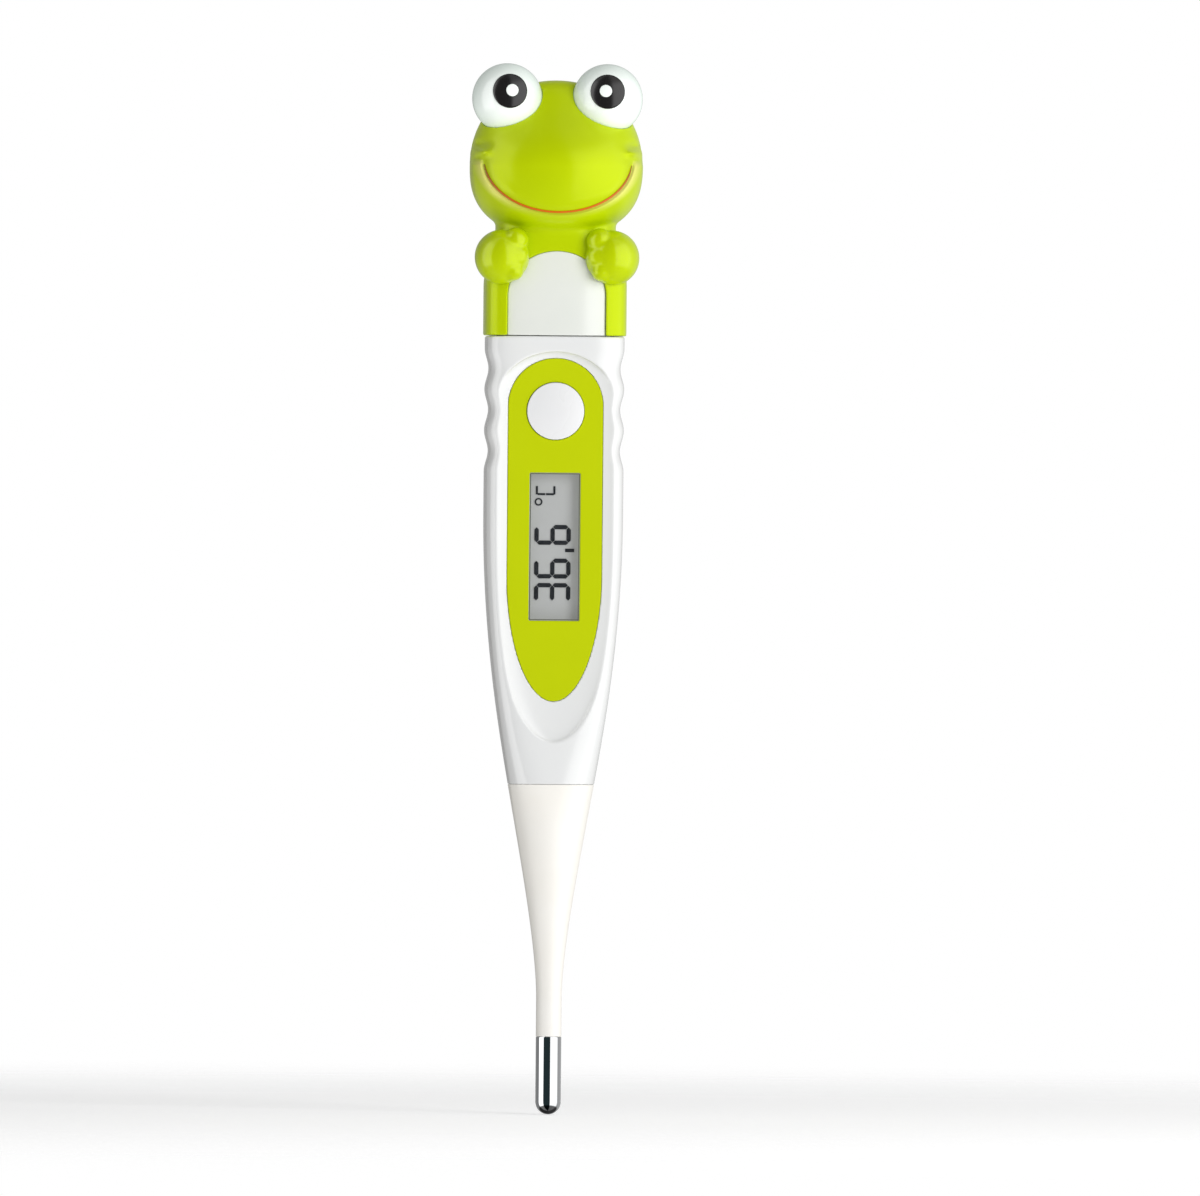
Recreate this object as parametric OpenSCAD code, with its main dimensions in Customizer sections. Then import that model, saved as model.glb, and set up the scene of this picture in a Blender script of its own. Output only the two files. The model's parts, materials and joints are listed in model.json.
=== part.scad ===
// Digital stick thermometer with a flexible neck and a frog-shaped battery cover.
// Frame: +Z runs from the sensor tip to the frog's head, the display faces -Y,
// and the origin is the centre of the sensor cap's rounded end.

/* [Housing] */
// Width of the housing across the grips
body_w = 19.8; // [19:0.1:20.6]
// Front-to-back thickness the housing would have without its flat back
body_d = 12.4; // [12:0.1:13]
// Distance from the long axis to the flat back face
back_y = 5.7; // [5.6:0.05:5.9]
// Height of the seam between the housing and the battery cover
seam_z = 109.3; // [108.5:0.1:110]
// Depth of each finger scallop in the sides
grip_depth = 0.55; // [0.2:0.05:0.7]

/* [Neck and sensor] */
// Radius of the steel sensor cap, and of the soft neck where it meets the cap
tip_r = 1.82; // [1.75:0.01:1.9]
// Length of the sensor cap's straight wall
cap_l = 9.3; // [8:0.1:10]
// Height of the line between the soft neck and the hard housing
neck_top_z = 45.3; // [44:0.1:46]

/* [Face plate] */
// Half width of the face plate, and the radius of its round upper end
plate_r = 6.78; // [6.5:0.02:6.9]
// Height of the centre of the face plate's round upper end
plate_top_z = 99.35; // [99:0.05:99.6]
// Height where the face plate's elliptical lower end starts
plate_low_z = 75.3; // [74:0.1:77]
// Length of that elliptical lower end
plate_tail = 18.1; // [16:0.1:19]
// Width of the display window
window_w = 7.24; // [6.8:0.02:7.6]
// Length of the display window
window_l = 21.1; // [20:0.1:22]
// Height of the display window's centre
window_z = 79.25; // [79:0.05:79.5]

/* [Power button] */
// Radius of the power button
button_r = 4.07; // [3.8:0.01:4.2]
// Height of the power button's centre
button_z = 98.6; // [98.4:0.1:98.8]
// How far the button travels when pressed
button_travel = 0.35; // [0.2:0.05:0.35]

/* [Frog] */
// Radius of the head, seen from the front
head_r = 12.36; // [12:0.02:12.6]
// Height of the centre of the head
head_z = 133.5; // [133:0.1:134]
// How far the face stands in front of the long axis
head_front = 10.2; // [9.8:0.1:10.6]
// Radius of each eyeball
eye_r = 5.02; // [4.8:0.01:5.1]
// Sideways distance of each eye from the middle
eye_x = 7.17; // [7.1:0.01:7.4]
// Height of the eyes' centres
eye_z = 143.2; // [143:0.1:143.8]
// Radius of each pupil
pupil_r = 2.46; // [2:0.02:2.6]
// Half width of the smile
smile_w = 10.4; // [10:0.05:10.6]
// How far the smile hangs down in the middle
smile_drop = 7.6; // [7:0.1:7.8]
// Height of the corners of the mouth
smile_z = 134.6; // [134:0.1:135]

/* [Hidden] */
$fn = 64;

gap = 0.08;           // clearance between neighbouring pieces
slide_gap = 0.1;      // clearance between pieces that move
big = 60;             // larger than the part is wide
around = 40;          // points in a lofted section
fine = 240;           // facets of the flattest domes

lime = [0.74, 0.81, 0.02];
white = [0.93, 0.93, 0.92];
cream = [0.95, 0.94, 0.90];
steel = [0.75, 0.77, 0.78];
brass_colour = [0.80, 0.63, 0.28];
board_green = [0.05, 0.33, 0.16];
black = [0.08, 0.08, 0.09];
lcd_grey = [0.60, 0.60, 0.60];
glass_tint = [0.85, 0.92, 0.90, 0.4];

// Housing: outline and inside
taper_z0 = 15;        // the neck starts to widen here
taper_z1 = 84;        // and reaches the full body width here
taper_skew = 0.79;    // under 1 widens the neck early
round_z = 38;         // sections are round below this height
square_z = 62;        // and fully squared above this one
square_power = 5;     // superellipse power of the squared section
grip_z0 = 90;         // lowest point of the scalloped stretch
grip_pitch = 5.87;
grip_count = 3;
cavity_x = 7.5;
cavity_front = -3.5;
cavity_back = 3.9;
cavity_z = 63;
tail_x = 5.5;         // narrower cavity over the neck
tail_y = 3.5;
tail_z = 50;
wire_bore_r = 1.2;
tongue_r = 2.6;       // the housing's tongue inside the soft neck
tongue_l = 3;

// Spigot that carries the battery cover
spigot_x = 8.2;
spigot_y = [-4.6, 3.8];
spigot_l = 8.9;
spigot_wall = 1.1;
spigot_corner = 2.2;
seal_z = 111.4;
seal_h = 1.3;
seal_depth = 0.6;

// Face plate and button stack, from the front inwards
plate_y = -5.15;      // front of the face plate
plate_t = 0.5;
seat_y = plate_y + plate_t + gap;
rim_y = -6;           // where the dished rim round the plate meets the housing's front
rim_top = 0.9;        // how far that rim spreads at the upper end
rim_side = 1.9;       // at the sides
rim_tail = 5.7;       // and at the lower end
lens_flange = 0.5;
hole_r = button_r + 0.12;
flange_r = 4.8;
stem_r = 1.4;
button_dome = 0.35;
switch_w = 5;
board_y = 0.3;
board_t = 0.8;
plunger_r = 1.1;
plunger_y = -1.9;
plunger_l = 0.8;
dome_r = 1.7;
dome_rise = 0.3;
sheet_t = 0.1;
well_t = 0.6;         // the switch base's floor
buzzer_z = 96;
chip_z = 82;

// Display stack
lcd_w = 10.4;
lcd_l = 25.6;
lcd_y = -3.3;
glass_t = 0.7;
layer_gap = 0.06;
ledge = 1.3;          // bare edge of the front glass that the connectors touch
frame_w = 13.2;
frame_l = 28;
peg_r = 0.5;

// Battery and its contacts
cell_r = 3.95;
cell_h = 3.6;
cell_z = 113.3;
cell_y = -0.1;
carrier_z = 106.6;
carrier_x = 6.8;
carrier_y = [-3.3, 2.55];
carrier_corner = 1;
contact_t = 0.2;
bay_y = [-2.3, 2.1];   // front and back walls of the cell's bay
blade_y = [-2.22, 1.8]; // front faces of the two contact blades
step_z = 104.6;        // where the contacts step in to the board
foot_z = 102;

// Flexible neck
bends = 8;            // hinges that stand in for the neck's flexing
bend_top_z = 36.5;
bend_pitch = 3;
ball_ratio = 1.2;     // ball radius over the neck's radius at the hinge
neck_bore_r = 0.9;
cap_wall = 0.2;
shank_l = 2.6;
shank_r = 1.3;
wire_r = 0.2;
wire_x = 0.45;
wire_top_z = 55;
epoxy_top_z = 4;

// Frog
cover_x = 10.15;      // the skirt stands a little proud of the housing
cover_front = 6.45;
cover_back = 5.65;
cover_z0 = seam_z + slide_gap;
cover_top_z = head_z + head_r - 0.15;
waist_z = 116.5;      // the skirt narrows above this height
throat_z = 124.6;
throat_x = 8.6;
head_low = 9.9;       // the head's height below its centre
jaw_power = 2.5;
crown_back = 9;
shell_wall = 1.4;
part_y = 1;           // plane between the front and back shells
sleeve_wall = 0.7;
sleeve_top_z = 119.6;
eye_y = -2.4;
brow_z = 133.5;       // the forehead slopes back from this height
brow_rise = 11;       // over this much height
brow_cut = 0.42;      // until this share of the face's depth is gone
pupil_up = 1.0;
pupil_in = 0.2;
highlight_r = 0.88;
belly_x = 7;
belly_top_z = 121.4;
belly_spring_z = 115.05;
smile_r = 0.3;
paw_at = [7.8, -5.3, 120.5];
paw_r = 3.95;
// Finger lobes of a paw, as offsets inwards, back and up from the palm, and a radius
lobes = [[1.8, -1.3, 2.35, 1.85], [2, -1.7, 0.15, 1.7], [1.5, -1.9, -1.85, 1.5]];
arm_r = 2.7;
arm_end = [8.2, 1.6, 121.8];

// ---------- curves ----------

function clamp(t) = min(1, max(0, t));
function smooth(t) = let(u = clamp(t)) u * u * (3 - 2 * u);

// Share of the full width that the neck has widened to, 0 to 1
function taper(z) =
    0.5 - 0.5 * cos(180 * pow(clamp((z - taper_z0) / (taper_z1 - taper_z0)), taper_skew));
function in_grip(z) = z > grip_z0 && z < grip_z0 + grip_count * grip_pitch;
function scallop(z) =
    in_grip(z) ? grip_depth / 2 * (1 - cos(360 * (z - grip_z0) / grip_pitch)) : 0;
function plain_w(z) = tip_r + (body_w / 2 - tip_r) * taper(z);
function half_w(z) = plain_w(z) - scallop(z);
// Thickness follows the width until it levels off at the body's own
function half_d(z) = let(w = plain_w(z)) w / pow(1 + pow(w / (body_d / 2), 8), 1 / 8);
function power(z) = 2 + (square_power - 2) * smooth((z - round_z) / (square_z - round_z));

// A superellipse section with its own front and back depth, cut flat at the back
function section(z, a, front, back, n, flat_y) = [
    for (i = [0:around - 1])
        let(
            turn = 360 * i / around,
            b = sin(turn) < 0 ? front : back,
            angle = atan2(b * sin(turn), a * cos(turn)),
            r = 1 / pow(pow(abs(cos(angle)) / a, n) + pow(abs(sin(angle)) / b, n), 1 / n)
        )
        [r * cos(angle), min(flat_y, r * sin(angle)), z]
];

// The outline of the face plate in X and Z, grown at the upper end, the sides and the lower end
function plate_outline(top, side, tail) = concat(
    [for (a = [0:10:180]) [(plate_r + side) * cos(a), plate_top_z + (plate_r + top) * sin(a)]],
    [for (a = [180:10:360]) [(plate_r + side) * cos(a), plate_low_z + (plate_tail + tail) * sin(a)]]
);

// Hinges of the neck
function hinge_z(k) = bend_top_z - (k - 1) * bend_pitch;
function ball(k) = ball_ratio * plain_w(hinge_z(k));

// The frog's outline
function arc(t, n) = pow(max(0, 1 - pow(abs(t), n)), 1 / n);
function rise(z) = (z - head_z) / (z < head_z ? head_low : head_r);
function round_power(z) = z < head_z ? jaw_power : 2;
function head_x(z) = head_r * arc(rise(z), round_power(z));
function torso_x(z) = cover_x - (cover_x - throat_x) * smooth((z - waist_z) / (throat_z - waist_z));
function cover_w(z) = z > throat_z ? max(head_x(z), z > head_z ? 0 : throat_x) : torso_x(z);
function brow(z) = 1 - brow_cut * smooth((z - brow_z) / brow_rise);
function head_y(z) = head_front * brow(z) * arc(rise(z), round_power(z));
function torso_y(z) = cover_front - 0.5 * smooth((z - waist_z) / (throat_z - waist_z));
function cover_d(z) = z > throat_z ? max(head_y(z), z > head_z ? 0 : torso_y(z)) : torso_y(z);
function torso_b(z) = cover_back + 0.5 - 1.1 * smooth((z - waist_z) / (throat_z - waist_z));
function head_b(z) = max(2, crown_back * arc(rise(z), round_power(z)));
function cover_b(z) = z > throat_z ? max(head_b(z), z > head_z ? 0 : torso_b(z)) : torso_b(z);
function cover_power(z) = square_power - (square_power - 2.15) * smooth((z - waist_z) / 12);
function frog_section(z, inset) = section(
    z, max(0.5, cover_w(z) - inset), max(0.5, cover_d(z) - inset),
    max(0.5, cover_b(z) - inset), cover_power(z), cover_back - inset
);
// Depth of the face at a point of its front
function face_y(x, z) =
    let(n = cover_power(z)) -cover_d(z) * pow(max(0, 1 - pow(abs(x) / cover_w(z), n)), 1 / n);

// ---------- shared shapes ----------

// A closed solid through sections that all have the same number of points
module loft(rings) {
    n = len(rings[0]);
    last = len(rings) - 1;
    sides = [
        for (k = [0:last - 1], i = [0:n - 1])
            let(j = (i + 1) % n, a = k * n, b = (k + 1) * n)
            each [[a + i, b + i, b + j], [a + i, b + j, a + j]]
    ];
    polyhedron(
        points = [for (ring = rings) each ring],
        faces = concat(sides, [[for (i = [0:n - 1]) i]], [[for (i = [n - 1:-1:0]) last * n + i]])
    );
}

// A box from low corner to high corner
module block(low, high) translate(low) cube(high - low);

// A prism along Z with rounded upright edges, from x = -half_x to half_x
module rounded_post(half_x, y, z, r) {
    translate([0, 0, z[0]]) linear_extrude(z[1] - z[0]) union() {
        translate([-half_x + r, y[0]]) square([2 * (half_x - r), y[1] - y[0]]);
        translate([-half_x, y[0] + r]) square([2 * half_x, y[1] - y[0] - 2 * r]);
        for (sx = [-1, 1], cy = [y[0] + r, y[1] - r]) translate([sx * (half_x - r), cy]) circle(r);
    }
}

// A bar along Y through a flat shape drawn in X and Z
module along_y(y0, y1) translate([0, y1, 0]) rotate([90, 0, 0]) linear_extrude(y1 - y0) children();

module disc_y(r, y0, y1, x = 0, z = 0) translate([x, y0, z]) rotate([-90, 0, 0]) cylinder(r = r, h = y1 - y0);

module plate_prism(grow, y0, y1) along_y(y0, y1) polygon(plate_outline(grow, grow, grow));

module window_prism(grow, y0, y1)
    block([-window_w / 2 - grow, y0, window_z - window_l / 2 - grow],
          [window_w / 2 + grow, y1, window_z + window_l / 2 + grow]);

module mirrored(side) mirror([side < 0 ? 0 : 1, 0, 0]) children();

// ---------- housing ----------

module housing_skin() {
    lower = [for (z = [neck_top_z + gap:4.06:grip_z0]) z];
    grips = [for (i = [0:6 * grip_count]) grip_z0 + i * grip_pitch / 6];
    loft([
        for (z = concat(lower, grips, [seam_z]))
            section(z, half_w(z), half_d(z), half_d(z), power(z), back_y)
    ]);
}

// Share of the rim's full spread at a share f of its depth. The rim is dished, steepest near the front.
function dish(f) = f < 1 ? 1 - pow(1 - f, 2) : 1 + 0.3 * (f - 1);

// Dished rim round the face plate, widest at its lower end
module rim_cutter() {
    loft([
        for (f = [0, 0.3, 0.6, 1, 1.8])
            let(grow = dish(f))
            [
                for (p = plate_outline(gap + grow * rim_top, gap + grow * rim_side, gap + grow * rim_tail))
                    [p.x, plate_y + f * (rim_y - plate_y), p.y]
            ]
    ]);
}

module spigot(inset, z0, z1)
    rounded_post(
        spigot_x - inset, [spigot_y[0] + inset, spigot_y[1] - inset], [z0, z1], spigot_corner - inset
    );

module housing() color(white) difference() {
    union() {
        housing_skin();
        spigot(0, seam_z - 1, seam_z + spigot_l);
        translate([0, 0, neck_top_z - tongue_l]) cylinder(r = tongue_r, h = tongue_l + 2);
    }
    rim_cutter();
    plate_prism(gap, plate_y - 0.2, seat_y);
    window_prism(lens_flange + gap, -big, 0);
    disc_y(hole_r, -big, 0, 0, button_z);
    rounded_post(cavity_x, [cavity_front, cavity_back], [cavity_z, seam_z - 1.5], 1);
    spigot(spigot_wall, seam_z - 2, seam_z + big);
    block([-tail_x, -tail_y, tail_z], [tail_x, tail_y, cavity_z + 1]);
    translate([0, 0, neck_top_z - big]) cylinder(r = wire_bore_r, h = big + 10);
    difference() {
        spigot(-1, seal_z - gap, seal_z + seal_h + gap);
        spigot(seal_depth, seal_z - 1, seal_z + seal_h + 1);
    }
}

module face_plate() color(lime) difference() {
    plate_prism(0, plate_y, plate_y + plate_t);
    window_prism(0, -big, 0);
    disc_y(hole_r, -big, 0, 0, button_z);
}

module window_lens() color(glass_tint) {
    window_prism(-gap, plate_y + 0.1, plate_y + plate_t + 0.2);
    window_prism(lens_flange, seat_y, cavity_front - 0.3);
}

module power_button() color(white) {
    crown_y = plate_y - 0.3 - button_dome;
    sphere_r = (pow(button_r, 2) + pow(button_dome, 2)) / (2 * button_dome);
    intersection() {
        disc_y(button_r, crown_y - 1, cavity_front + slide_gap, 0, button_z);
        translate([0, crown_y + sphere_r, button_z]) sphere(sphere_r, $fn = fine);
    }
    disc_y(flange_r, cavity_front + slide_gap, cavity_front + 0.8, 0, button_z);
    disc_y(stem_r, cavity_front + 0.8, plunger_y - gap, 0, button_z);
}

// ---------- display ----------

module lcd_slab(w, l, y, t) block([-w / 2, y, window_z - l / 2], [w / 2, y + t, window_z + l / 2]);

module lcd_front_glass() color(glass_tint) lcd_slab(lcd_w, lcd_l, lcd_y, glass_t);

module lcd_rear_glass() color(glass_tint)
    lcd_slab(lcd_w, lcd_l - 2 * ledge, lcd_y + glass_t + layer_gap, glass_t);

module lcd_reflector() color(lcd_grey)
    lcd_slab(lcd_w - 0.4, lcd_l - 2 * ledge - 0.4, lcd_y + 2 * (glass_t + layer_gap), 0.15);

// Seven-segment figures, read with the sensor tip to the left
digit_w = 2.85;
digit_h = 5.2;
bar = 0.62;
// Which bars are lit: top, upper right, lower right, bottom, lower left, upper left, middle
three = [1, 1, 1, 1, 0, 0, 1];
six = [1, 0, 1, 1, 1, 1, 1];

// One bar with pointed ends, centred on the origin and lying along X
module lcd_bar(l, t) polygon([
    [-l / 2, 0], [-l / 2 + t / 2, t / 2], [l / 2 - t / 2, t / 2],
    [l / 2, 0], [l / 2 - t / 2, -t / 2], [-l / 2 + t / 2, -t / 2]
]);

module figure(lit, w, h, t) {
    across = w - t - 0.08;
    up = (h - t) / 2 - 0.08;
    spots = [
        [0, h / 2 - t / 2, 0], [w / 2 - t / 2, h / 4 - t / 4, 90], [w / 2 - t / 2, -h / 4 + t / 4, 90],
        [0, -h / 2 + t / 2, 0], [-w / 2 + t / 2, -h / 4 + t / 4, 90], [-w / 2 + t / 2, h / 4 - t / 4, 90],
        [0, 0, 0]
    ];
    for (i = [0:6]) if (lit[i])
        translate([spots[i][0], spots[i][1]]) rotate(spots[i][2]) lcd_bar(spots[i][2] == 0 ? across : up, t);
}

module lcd_segments() color(black) along_y(lcd_y - 0.12, lcd_y - 0.06) translate([0, window_z]) rotate(90) {
    translate([-6.6, 0.2]) figure(three, digit_w, digit_h, bar);
    translate([-3.1, 0.2]) figure(six, digit_w, digit_h, bar);
    translate([1.7, 0.2]) figure(six, digit_w, digit_h, bar);
    translate([-0.75, -2.9]) square([0.5, 1.3]);
    translate([6.4, 2.25]) difference() {
        circle(0.56);
        circle(0.34);
    }
    translate([8.05, 1.25]) {
        translate([0, 1.25]) square([1.2, 0.3], center = true);
        for (y = [0.6, -0.6]) translate([-0.55, y]) square([0.3, 1.1], center = true);
        translate([0, -1.25]) square([1.2, 0.3], center = true);
    }
}

module lcd_frame() color(white) {
    difference() {
        lcd_slab(frame_w, frame_l, cavity_front + gap, board_y - gap - cavity_front - gap);
        lcd_slab(lcd_w + 0.2, lcd_l + 0.2, -big / 2, big);
    }
    for (x = [-1, 1], z = [-1, 1])
        disc_y(peg_r, board_y - 0.2, board_y + board_t + 0.4,
               x * (frame_w / 2 - 0.65), window_z + z * (frame_l / 2 - 0.6));
}

module elastomer_connectors() color([0.85, 0.45, 0.55]) {
    front = lcd_y + glass_t + layer_gap;
    for (side = [-1, 1]) translate([0, 0, side * (lcd_l / 2 - ledge / 2)])
        lcd_slab(lcd_w - 0.6, ledge - 0.2, front, board_y - gap - front);
}

// ---------- electronics ----------

module circuit_board() color(board_green) difference() {
    union() {
        block([-7, board_y, cavity_z + 0.5], [7, board_y + board_t, 106]);
        block([-4.8, board_y, tail_z + 3], [4.8, board_y + board_t, cavity_z + 1]);
    }
    for (x = [-1, 1], z = [-1, 1])
        disc_y(peg_r + gap, -1, 3, x * (frame_w / 2 - 0.65), window_z + z * (frame_l / 2 - 0.6));
}

module chip_encapsulant() color(black) {
    cap_r = 3.4;
    cap_h = 1.1;
    r = (cap_r * cap_r + cap_h * cap_h) / (2 * cap_h);
    base = board_y + board_t + layer_gap;
    intersection() {
        disc_y(cap_r, base, base + 2, 0, chip_z);
        translate([0, base + cap_h - r, chip_z]) sphere(r, $fn = fine);
    }
}

// A two-terminal chip part lying on the back of the board, long side along Z
module chip(x, z, w, l, h) {
    seat = board_y + board_t + layer_gap;
    block([x - w / 2, seat, z - l / 2], [x + w / 2, seat + h, z + l / 2]);
}

module chip_resistors() color(black)
    for (at = [[-5, 90], [-3.4, 90], [3.6, 72.5], [5.2, 72.5]]) chip(at[0], at[1], 0.8, 1.6, 0.45);

module chip_capacitors() color([0.62, 0.5, 0.36])
    for (at = [[5, 88.5], [-5, 75.5], [-3, 70]]) chip(at[0], at[1], 1.2, 2, 0.9);

module switch_base() color(black) difference() {
    half = switch_w / 2;
    block([-half, plunger_y + 0.7, button_z - half], [half, board_y - layer_gap, button_z + half]);
    disc_y(dome_r + 0.2, plunger_y, board_y - well_t, 0, button_z);
}

module switch_cover() color(steel) difference() {
    half = switch_w / 2;
    block([-half, plunger_y + 0.54, button_z - half], [half, plunger_y + 0.64, button_z + half]);
    disc_y(plunger_r + 0.15, -3, 0, 0, button_z);
}

module switch_plunger() color([0.75, 0.2, 0.15])
    disc_y(plunger_r, plunger_y, plunger_y + plunger_l, 0, button_z);

module snap_dome() color(steel) {
    r = (dome_r * dome_r + dome_rise * dome_rise) / (2 * dome_rise);
    seat = board_y - well_t - gap;
    intersection() {
        disc_y(dome_r, seat - 1, seat, 0, button_z);
        translate([0, seat - dome_rise + r, button_z]) difference() {
            sphere(r, $fn = fine);
            sphere(r - sheet_t, $fn = fine);
        }
    }
}

module buzzer_diaphragm() color(brass_colour) disc_y(6, cavity_back - 0.3, cavity_back - 0.1, 0, buzzer_z);

module buzzer_ceramic() color(white) disc_y(4.4, cavity_back - 0.56, cavity_back - 0.36, 0, buzzer_z);

// ---------- battery ----------

module battery_carrier() color(black) difference() {
    rounded_post(carrier_x, carrier_y, [carrier_z, seam_z + spigot_l - 0.2], carrier_corner);
    block([-cell_r - 0.15, bay_y[0], cell_z], [cell_r + 0.15, bay_y[1], seam_z + big]);
    disc_y(cell_r + 0.15, bay_y[0], bay_y[1], 0, cell_z);
    for (y = blade_y) block([-1.7, y - gap, carrier_z - 1], [1.7, y + contact_t + gap, cell_z]);
}

// A sheet contact: a blade beside the cell, a step inwards and a foot on the board
module contact(blade, foot) {
    block([-1.5, blade, step_z], [1.5, blade + contact_t, cell_z + 2.4]);
    block([-1.5, min(blade, foot), step_z], [1.5, max(blade, foot) + contact_t, step_z + contact_t]);
    block([-1.5, foot, foot_z], [1.5, foot + contact_t, step_z + contact_t]);
}

module contact_negative() color(steel) contact(blade_y[0], board_y - gap - contact_t);

module contact_positive() color(steel) contact(blade_y[1], board_y + board_t + gap);

module cell_can() color(steel) difference() {
    disc_y(cell_r, cell_y - cell_h / 2 + 0.6, cell_y + cell_h / 2, 0, cell_z);
    disc_y(cell_r - 0.3, cell_y - cell_h / 2, cell_y + cell_h / 2 - 0.3, 0, cell_z);
}

module cell_gasket() color([0.2, 0.25, 0.3]) difference() {
    disc_y(cell_r - 0.3 - gap, cell_y - cell_h / 2 + 0.45, cell_y + cell_h / 2 - 1, 0, cell_z);
    disc_y(cell_r - 0.8, cell_y - cell_h / 2, cell_y + cell_h / 2, 0, cell_z);
}

module cell_cap() color([0.82, 0.83, 0.84])
    disc_y(cell_r - 0.8 - gap, cell_y - cell_h / 2, cell_y + cell_h / 2 - 0.5, 0, cell_z);

module cover_seal() color([0.25, 0.27, 0.3]) difference() {
    spigot(-0.04, seal_z, seal_z + seal_h);
    spigot(seal_depth - gap, seal_z - 1, seal_z + seal_h + 1);
}

// ---------- frog cover ----------

module cover_sleeve() color(white) difference() {
    spigot(-slide_gap - sleeve_wall, cover_z0, sleeve_top_z);
    spigot(-slide_gap, cover_z0 - 1, sleeve_top_z - 1);
}

module frog_solid(inset, z0, z1) {
    step = 1.3;
    count = ceil((z1 - z0) / step);
    loft([for (i = [0:count]) frog_section(z0 + (z1 - z0) * i / count, inset)]);
}

module frog_hollow() {
    spigot(-slide_gap - sleeve_wall - gap, seam_z - 1, sleeve_top_z + gap);
    frog_solid(shell_wall, sleeve_top_z - 0.5, head_z + head_r - 1.6);
}

module smile_tube(r) {
    steps = 36;
    sides = 6;
    function on_face(a) = let(x = smile_w * cos(a), z = smile_z - smile_drop * sin(a)) [x, face_y(x, z), z];
    loft([
        for (i = [0:steps])
            let(
                a = 4 + i * 172 / steps,
                p = on_face(a),
                along = on_face(a + 1) - on_face(a - 1),
                u = cross(along, [0, 1, 0]) / norm(cross(along, [0, 1, 0])),
                v = cross(along, u) / norm(along)
            )
            [for (k = [0:sides - 1]) p + r * (cos(360 * k / sides) * u + sin(360 * k / sides) * v)]
    ]);
}

module belly_prism(grow, y0, y1) along_y(y0, y1) polygon(concat(
    [for (a = [0:10:180])
        [(belly_x + grow) * cos(a), belly_spring_z + (belly_top_z - belly_spring_z + grow) * sin(a)]],
    [[-belly_x - grow, seam_z - 5 * grow], [belly_x + grow, seam_z - 5 * grow]]
));

module frog_shell() difference() {
    frog_solid(0, cover_z0, cover_top_z);
    frog_hollow();
    for (side = [-1, 1]) translate([side * eye_x, eye_y, eye_z]) sphere(eye_r + gap);
}

module frog_front_shell() color(lime) difference() {
    frog_shell();
    block([-big, part_y - gap / 2, 0], [big, big, 200]);
    belly_prism(gap, -big, 0);
    smile_tube(smile_r + gap);
}

module frog_back_shell() color(lime) difference() {
    frog_shell();
    block([-big, -big, 0], [big, part_y + gap / 2, 200]);
}

module belly_panel() color(white) intersection() {
    frog_solid(0, cover_z0, throat_z);
    belly_prism(0, -cover_front - 1, spigot_y[0] - slide_gap - sleeve_wall - gap);
}

module mouth_line() color([0.85, 0.33, 0.10]) smile_tube(smile_r);

module eye(side) color([0.95, 0.97, 0.95]) translate([side * eye_x, eye_y, eye_z]) sphere(eye_r);

// A thin domed disc lying on an eyeball, facing the front
module eye_disc(side, r, from, to, dx, dz) translate([side * eye_x, eye_y, eye_z]) intersection() {
    disc_y(r, -eye_r - 1, 0, side * -dx, dz);
    difference() {
        sphere(eye_r + to);
        sphere(eye_r + from);
    }
}

module pupil(side) color(black) eye_disc(side, pupil_r, 0.04, 0.2, pupil_in, pupil_up);

module pupil_highlights() color(white)
    for (side = [-1, 1]) eye_disc(side, highlight_r, 0.24, 0.36, pupil_in + 0.3, pupil_up + 0.1);

// The fingers lie towards the middle of the belly
module paw(side) color(lime) mirror([side > 0 ? 0 : 1, 0, 0]) difference() {
    union() {
        translate(paw_at) sphere(paw_r);
        for (lobe = lobes) translate(paw_at + [-lobe[0], lobe[1], lobe[2]]) sphere(lobe[3]);
        hull() {
            translate(paw_at + [0.6, 1.6, 0.4]) sphere(arm_r, $fn = 24);
            translate(arm_end) sphere(arm_r - 0.4, $fn = 24);
        }
    }
    frog_solid(-gap, cover_z0, cover_top_z);
}

// ---------- flexible neck ----------

// Half of a lathe profile of the neck's outside, between two heights. It is straight below the taper.
module neck_profile(z0, z1) {
    bend = max(z0, taper_z0);
    heights = concat(z0 < bend ? [z0] : [], [for (i = [0:8]) bend + (z1 - bend) * i / 8]);
    polygon(concat([[0, z0]], [for (z = heights) [plain_w(z), z]], [[0, z1]]));
}

module lathe() rotate_extrude() children();

// The profile below a hinge's ball: the ball's top, and everything under its centre
module below_ball(k) intersection() {
    neck_profile(hinge_z(k) - 2 * bend_pitch - 4, hinge_z(k) + ball(k));
    union() {
        translate([0, hinge_z(k)]) circle(ball(k) - slide_gap);
        translate([-big, hinge_z(k) - big]) square([2 * big, big]);
    }
}

// Only the half of a flat shape that a lathe can turn
module right_half() intersection() {
    children();
    translate([0, -big]) square([big, 4 * big]);
}

module neck_link(k) color(cream) lathe() right_half() difference() {
    below_ball(k);
    translate([0, hinge_z(k + 1)]) circle(ball(k + 1));
    translate([-1, hinge_z(k + 1) - big]) square([2 * big, big]);
    translate([-1, -big]) square([1 + neck_bore_r, 4 * big]);
}

module neck_end() color(cream) lathe() right_half() difference() {
    below_ball(bends);
    translate([-1, cap_l + gap - big]) square([2 * big, big]);
    translate([-1, -big]) square([1 + neck_bore_r, 4 * big]);
    translate([-1, -big]) square([1 + shank_r + gap, big + cap_l + shank_l + gap]);
}

module neck_root() color(cream) difference() {
    bottom = hinge_z(1) + 0.4 * plain_w(bend_top_z);
    rings = [for (i = [0:6]) bottom + (neck_top_z - bottom) * i / 6];
    loft([for (z = rings) section(z, half_w(z), half_d(z), half_d(z), power(z), back_y)]);
    translate([0, 0, hinge_z(1)]) sphere(ball(1));
    translate([0, 0, neck_top_z - tongue_l - gap]) cylinder(r = tongue_r + gap, h = tongue_l + 1);
    cylinder(r = neck_bore_r, h = neck_top_z);
}

// ---------- sensor ----------

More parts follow.
